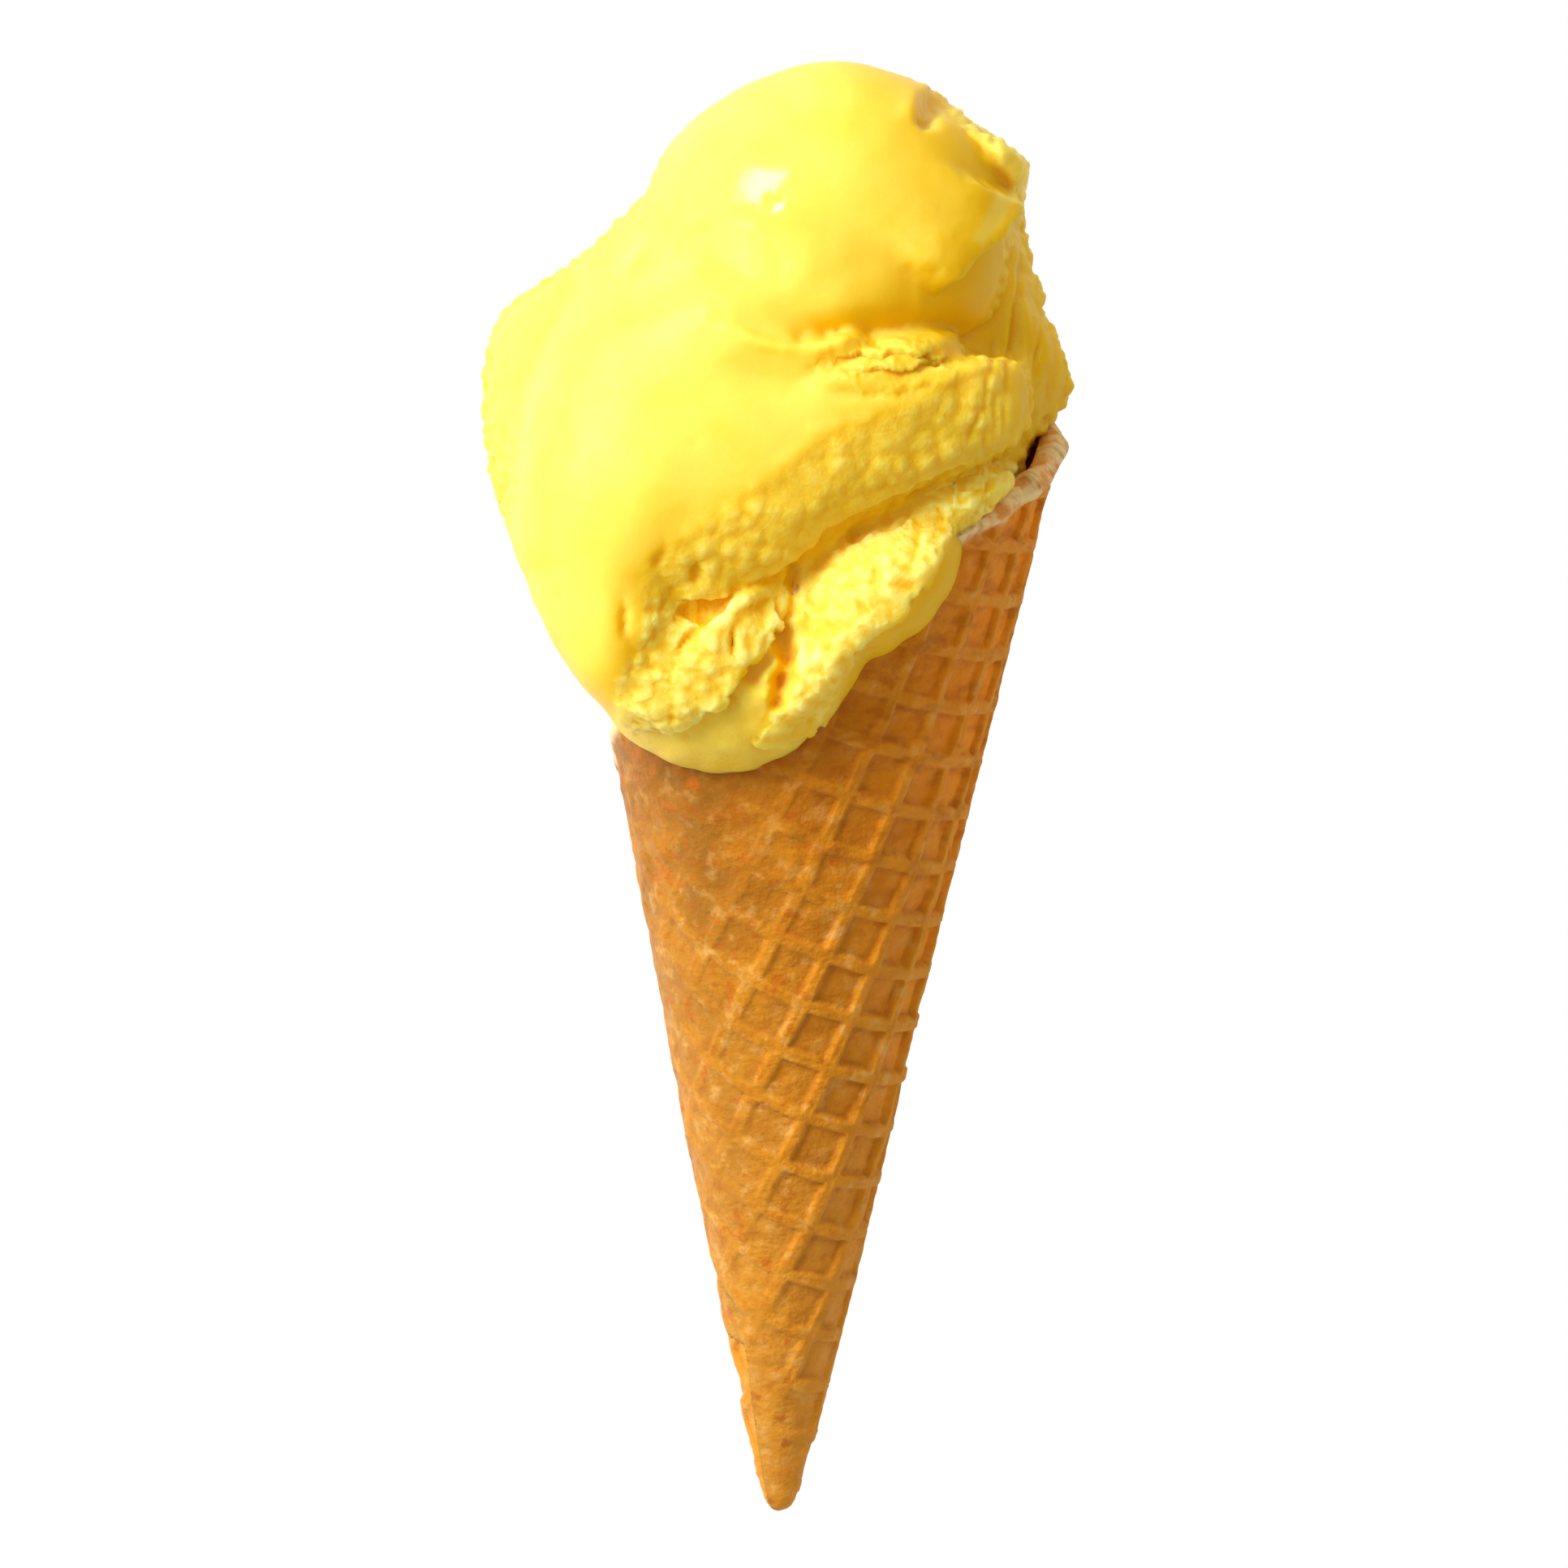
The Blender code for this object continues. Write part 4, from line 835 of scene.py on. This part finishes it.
def roughened(obj):
    # presses the marks and the torn grain into the surface, and notes what its colour and gloss follow,
    # among them the painted light and painted shade that follow which way each point faces the lamp
    mesh = obj.data
    values, facing = places(mesh), normals(mesh)
    upward = faded(facing[:, 2], -0.15, 0.25)
    torn = areaShare(values, "rough") * np.maximum(upward, 0.35)
    serrated = serratedShare(values, facing)
    patchy = faded(uneven(values, grain["patches"], 35), *grain["patchesFrom"])
    values += facing * coarseGrain(values, facing, upward, torn, serrated, patchy)[:, None]
    setPlaces(mesh, values)
    facing = normals(mesh)
    values += facing * fineGrain(values, torn, serrated, patchy)[:, None]
    values[:, 2] = np.maximum(values[:, 2], 0)
    setPlaces(mesh, values)
    # hollow steers painted shade: the material paints the folds, and the torn pockets added below, deeper
    # orange
    hollow = (0.4 + 0.6 * torn) * hollowness(mesh, 24) + 0.35 * torn * hollowness(mesh, 6)
    hollow += 0.25 * upward * tearDepth(values)
    towards = facing @ grain["lightSide"]
    # painted light: the pale colour goes where a point faces the lamp, less where it is torn
    lit = faded(towards, 0.25, 0.95) * (1 - 0.6 * torn)
    # pale crumbs on the torn areas, kept out of the hollows and a little paler where they face the lamp,
    # which is painted light
    crumbs = areaShare(values, "pale") * faded(-hollow, -0.3, 0.1)
    crumbs *= 0.7 + 0.3 * faded(towards, 0.3, 0.8)
    shining = nearPlace(values, grain["shineAt"], grain["shineReach"])
    shining *= values[:, 2] > grain["shineAbove"]
    # towardsLight steers painted shade: the material darkens what turns away from the lamp
    setAttributes(
        mesh, torn=np.clip(torn + 0.4 * serrated, 0, 1), hollow=hollow, frost=np.maximum(lit, crumbs),
        towardsLight=faded(towards, -0.3, 0.45), wet=shining)
    return obj


def sorbetHeap():
    bm = bmesh.new()
    for scoop in scoops.values():
        addScoop(bm, scoop)
    heap = remeshed(fromBmesh(bm, "sorbetHeap"), body["coarse"])
    movedOntoScoops(heap.data, 4)
    heap = remeshed(heap, body["fine"])
    movedOntoScoops(heap.data, 2)
    values, facing = places(heap.data), normals(heap.data)
    values -= facing * (tearDepth(values) * faded(facing[:, 2], 0, 0.3))[:, None]
    setPlaces(heap.data, values)
    heap = remeshed(heap, body["fine"])
    # fewer faces underneath, more where it is torn
    below = normals(heap.data)[:, 2] < body["undersideFrom"]
    thinned(heap, 1 - body["undersideLess"] * below.mean(), below)
    bm = toBmesh(heap.data)
    values = np.array([vert.co for vert in bm.verts])
    facing = np.array([vert.normal for vert in bm.verts])
    isTorn = (areaShare(values, "rough") > body["tornFrom"]) & (facing[:, 2] > -0.2)
    bm.verts.index_update()
    edges = [edge for edge in bm.edges if all(isTorn[vert.index] for vert in edge.verts)]
    bmesh.ops.subdivide_edges(bm, edges=edges, cuts=1, use_grid_fill=True)
    bmesh.ops.triangulate(bm, faces=[face for face in bm.faces if len(face.verts) > 4])
    bm.to_mesh(heap.data)
    bm.free()
    roughened(modified(heap, "SMOOTH", factor=body["smoothing"], iterations=2))
    heap.data.calc_loop_triangles()
    return modified(heap, "DECIMATE", ratio=body["triangles"] / len(heap.data.loop_triangles))


# Materials

def linear(hexColour):
    # a colour as the screen shows it, as the light values that materials use
    parts = [int(hexColour[start:start + 2], 16) / 255 for start in (1, 3, 5)]
    return (*[part / 12.92 if part <= 0.04045 else ((part + 0.055) / 1.055) ** 2.4 for part in parts], 1)


def setInputs(tree, node, inputs):
    # an input takes a value or another node's output
    for name, value in inputs.items():
        if isinstance(value, bpy.types.NodeSocket):
            tree.links.new(value, node.inputs[name])
        else:
            node.inputs[name].default_value = value


def addNode(tree, kind, inputs, **settings):
    made = tree.nodes.new(kind)
    for name, value in settings.items():
        setattr(made, name, value)
    setInputs(tree, made, inputs)
    return made


def pattern(tree, size, detail=2.0, stretch=(1, 1, 1), roughness=0.5):
    # soft noise of this size in millimetres, from 0 to 1
    place = addNode(tree, "ShaderNodeTexCoord", {})
    scale = [part / (size * whole["milli"]) for part in stretch]
    mapped = addNode(tree, "ShaderNodeMapping", {"Vector": place.outputs["Object"], "Scale": scale})
    noise = addNode(tree, "ShaderNodeTexNoise", {
        "Vector": mapped.outputs["Vector"], "Scale": 1.0, "Detail": detail, "Roughness": roughness})
    return noise.outputs["Fac"]


def attributesOf(tree, *names):
    return [
        addNode(tree, "ShaderNodeAttribute", {}, attribute_name=name).outputs["Fac"] for name in names]


def between(tree, value, low, high, lowResult=0.0, highResult=1.0):
    # lowResult at or beyond low, highResult at or beyond high, and even in between
    ranged = addNode(tree, "ShaderNodeMapRange", {
        "Value": value, "From Min": low, "From Max": high, "To Min": lowResult, "To Max": highResult})
    return ranged.outputs["Result"]


def times(tree, first, second, operation="MULTIPLY"):
    # one value times another, or what the operation says
    return addNode(tree, "ShaderNodeMath", {0: first, 1: second}, operation=operation).outputs[0]


def mixed(tree, share, first, second):
    # two colours, each a hex value or a node's output: the mix node takes the share and them at 0, 6 and 7
    first, second = [linear(colour) if isinstance(colour, str) else colour for colour in (first, second)]
    return addNode(tree, "ShaderNodeMix", {0: share, 6: first, 7: second}, data_type="RGBA").outputs[2]


def stained(tree, colour, look, stains):
    # a colour with the look's other colours over it, one after the other
    for name, share in stains:
        colour = mixed(tree, share, colour, look[name])
    return colour


def newMaterial(name):
    material = bpy.data.materials.new(name)
    material.use_nodes = True
    tree = material.node_tree
    return material, tree, tree.nodes["Principled BSDF"]


def setFood(tree, shader, look, colour, height):
    # what sorbet and wafer share: fine relief, a low shine, and light that seeps a little way in
    bump = addNode(tree, "ShaderNodeBump", {
        "Height": height, "Distance": look["relief"] * whole["milli"], "Strength": 1.0})
    setInputs(tree, shader, {
        "Base Color": colour, "Specular IOR Level": look["shine"], "Normal": bump.outputs["Normal"],
        "Subsurface Weight": look["seep"], "Subsurface Radius": look["seepReach"],
        "Subsurface Scale": whole["milli"]})


# Patterns are given by their size in millimetres, detail, stretch and roughness
sorbetLook = {
    "flesh": "#FAC70E", "paintedShadeFlesh": "#E8B80C", "deep": "#F9B508", "pale": "#FBDF68", "ice": "#FFF2A0",
    "roughness": 0.38, "wetRoughness": 0.17, "tornRoughness": 0.5, "glaze": 0.4, "glazeRoughness": 0.12,
    "shine": 0.22, "bending": 1.36, "seep": 0.85, "seepReach": (3.3, 2.4, 0.6), "deepest": 0.55,
    "cloud": (7.0, 3.0), "crystals": (0.5, 3.0), "dimples": (3.0,), "dimpleShare": 0.8, "relief": 0.16,
}


def mangoSorbet():
    # frozen mango: saturated yellow that light seeps into, smooth where the scoop pressed it and icy where
    # it tore, with a thin melted glaze on the ball; its colour holds painted light, paler on the side that
    # faces the lamp, and painted shade, deeper gold on the side turned away and deeper orange in its folds
    look = sorbetLook
    material, tree, shader = newMaterial("mango sorbet")
    hollow, torn, frost, towards, wet = attributesOf(tree, "hollow", "torn", "frost", "towardsLight", "wet")
    # pale: painted light on the side facing the lamp together with pale crumbs, broken up by a cloud
    # pattern; ice: paler still on raised torn crumbs, following the same painted light
    frosted = times(tree, frost, between(tree, pattern(tree, *look["cloud"]), 0.3, 0.65, 0.7, 1.0))
    raised = times(tree, between(tree, hollow, -0.02, -0.35), torn)
    # painted shade: the base is a darker, deeper gold flesh, left where a point turns away from the lamp;
    # the plain flesh colour comes in where it faces the lamp
    colour = stained(tree, look["paintedShadeFlesh"], look, [
        ("flesh", towards), ("pale", frosted), ("ice", times(tree, raised, frosted)),
        # deep: painted shade, deeper orange in the folds and torn pockets
        ("deep", between(tree, hollow, 0.08, 1.0, 0, look["deepest"]))])
    smooth = between(tree, wet, 0.0, 0.5, look["roughness"], look["wetRoughness"])
    icy = times(tree, pattern(tree, *look["crystals"]), between(tree, torn, 0, 0.6, 0.25, 1.0))
    soft = times(tree, pattern(tree, *look["dimples"]), look["dimpleShare"])
    setFood(tree, shader, look, colour, times(tree, icy, soft, "ADD"))
    setInputs(tree, shader, {
        "Roughness": times(tree, smooth, between(tree, torn, 0, 0.7, 0, look["tornRoughness"]), "MAXIMUM"),
        "IOR": look["bending"], "Coat Weight": between(tree, wet, 0.1, 0.6, 0, look["glaze"]),
        "Coat Roughness": look["glazeRoughness"]})
    return material


waferLook = {
    "rib": "#DE9424", "cell": "#8E5C1A", "paintedFillCell": "#FF960A", "lowCell": "#DE9A3A", "pale": "#E4B068",
    "dark": "#AE5E08", "toasted": "#BC6418", "rimPale": "#F4D8AE", "roughness": 0.42, "shine": 0.12,
    "seep": 0.3, "seepReach": (1.8, 0.8, 0.25), "crumbShare": 0.5, "relief": 0.4,
}
waferPatterns = {
    "cloud": (9.0, 3.0), "line": (3.0,), "flour": (2.6, 3.0), "scorch": (4.0, 4.0, (1, 1.8, 1)),
    "mottle": (2.6, 5.0, (1, 1, 1), 0.65), "toast": (2.8, 4.0, (1, 1, 1), 0.6), "rim": (2.6, 3.0),
    "crumb": (0.8, 3.0), "wrinkle": (2.8, 3.0, (1, 1.5, 1)),
}


def bakedWafer():
    # thin baked sugar wafer: golden brown with paler worn ribs, floury patches, brown scorched streaks and
    # a pale broken rim. Its cells are painted darker on the left, which faces the lamp, and brighter and
    # redder on the
    # right, which is turned from it: partly a redder bake, partly a painted fill against the shade there.
    # Thin painted shade lines run along the feet of the ribs
    look = waferLook
    material, tree, shader = newMaterial("baked wafer")
    rib, line, rim, angle, distance = attributesOf(tree, "rib", "line", "rim", "angle", "distance")
    drawn = {name: pattern(tree, *values) for name, values in waferPatterns.items()}
    high = between(tree, distance, 92, 112)
    # painted fill: the mottling and toasted patches fade towards the right side, which is turned from the
    # lamp
    calm = between(tree, angle, 0, 60, 1.0, 0.35)
    darker = times(tree, calm, between(tree, drawn["mottle"], 0.5, 0.3, 0, 0.4))
    paler = times(tree, calm, between(tree, drawn["mottle"], 0.53, 0.7, 0, 0.45))
    scorch = between(tree, drawn["scorch"], 0.5, 0.68)
    flour = between(tree, drawn["flour"], 0.56, 0.72)
    colour = stained(tree, look["cell"], look, [
        # painted fill: the brighter, redder cell colour comes in towards the right side, turned from the
        # lamp
        ("paintedFillCell", between(tree, angle, -32, 75)),
        ("lowCell", between(tree, distance, 120, 40, 0, 0.75)),
        ("rib", rib),
        ("rib", between(tree, drawn["cloud"], 0.45, 0.75, 0, 0.55)),
        # painted shade along the feet of the ribs
        ("dark", times(tree, line, between(tree, drawn["line"], 0.35, 0.6, 0, 0.75))),
        ("pale", times(tree, flour, between(tree, rib, 0, 1, 0.15, 0.85))),
        ("dark", times(tree, scorch, between(tree, high, 0, 1, 0.15, 0.55))),
        ("dark", darker),
        ("pale", times(tree, paler, between(tree, high, 0, 1, 1.0, 0.3))),
        ("toasted", times(tree, between(tree, drawn["toast"], 0.58, 0.66, 0, 0.65), calm)),
        ("rimPale", times(tree, rim, between(tree, drawn["rim"], 0.4, 0.55, 0.25, 1.0)))])
    crumb = times(tree, drawn["crumb"], look["crumbShare"])
    setFood(tree, shader, look, colour, times(tree, crumb, drawn["wrinkle"], "ADD"))
    setInputs(tree, shader, {"Roughness": look["roughness"]})
    return material


def whitePaper():
    # bright plain paper under the cone, which only sends light up to it: the ground itself stays white
    material, tree, shader = newMaterial("white paper")
    setInputs(tree, shader, {"Base Color": linear("#F4F4F4"), "Roughness": 0.9, "Specular IOR Level": 0.1})
    return material


# Pieces

wafers = finished(rolledWafer(), bakedWafer())
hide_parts("waffle_cone")
print("wafer rolled", len(wafers.data.polygons))

heap = finished(sorbetHeap(), mangoSorbet())
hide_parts("sorbet")
print("heap made", len(heap.data.polygons))


# Ground, camera and light

picture = {"lens": 200.0, "sensor": 36.0, "above": 40.0 + 1137.8, "furthest": 20, "ground": 3000}
bm = bmesh.new()
bmesh.ops.create_grid(bm, x_segments=1, y_segments=1, size=picture["ground"])
ground = fromBmesh(bm, "ground")
ground.data.transform(toFrame)
ground.data.materials.append(whitePaper())
ground.visible_camera = False

camera = linked(bpy.data.cameras.new("camera"), "camera")
camera.data.lens = picture["lens"]
camera.data.sensor_width = picture["sensor"]
camera.data.clip_end = picture["furthest"]
camera.data.dof.use_dof = False
camera.location = toFrame @ Vector((0, 0, picture["above"]))
bpy.context.scene.camera = camera

light = {
    "towards": (-0.62, 0.38, 0.66), "aim": (0, 0.03, 0.04), "away": 0.9, "size": 0.4, "watts": 10.9,
    "sky": 0.51, "skyColour": (1.03, 0.96, 0.62, 1), "white": (1, 1, 1, 1),
}
softbox = linked(bpy.data.lights.new("softbox", "AREA"), "softbox")
direction = Vector(light["towards"]).normalized()
softbox.location = Vector(light["aim"]) + direction * light["away"]
softbox.rotation_euler = direction.to_track_quat("Z", "Y").to_euler()
softbox.data.shape = "SQUARE"
softbox.data.size = light["size"]
softbox.data.energy = light["watts"]

# the sky lights the cone warmly, and the camera sees white behind it
world = bpy.data.worlds.new("studio")
bpy.context.scene.world = world
world.use_nodes = True
tree = world.node_tree
sky = tree.nodes["Background"]
setInputs(tree, sky, {"Color": light["skyColour"], "Strength": light["sky"]})
white = addNode(tree, "ShaderNodeBackground", {"Color": light["white"], "Strength": 1.0})
seen = addNode(tree, "ShaderNodeLightPath", {})
chosen = addNode(tree, "ShaderNodeMixShader", {
    0: seen.outputs["Is Camera Ray"], 1: sky.outputs["Background"], 2: white.outputs["Background"]})
setInputs(tree, tree.nodes["World Output"], {"Surface": chosen.outputs["Shader"]})
bpy.context.scene.view_settings.view_transform = "Standard"
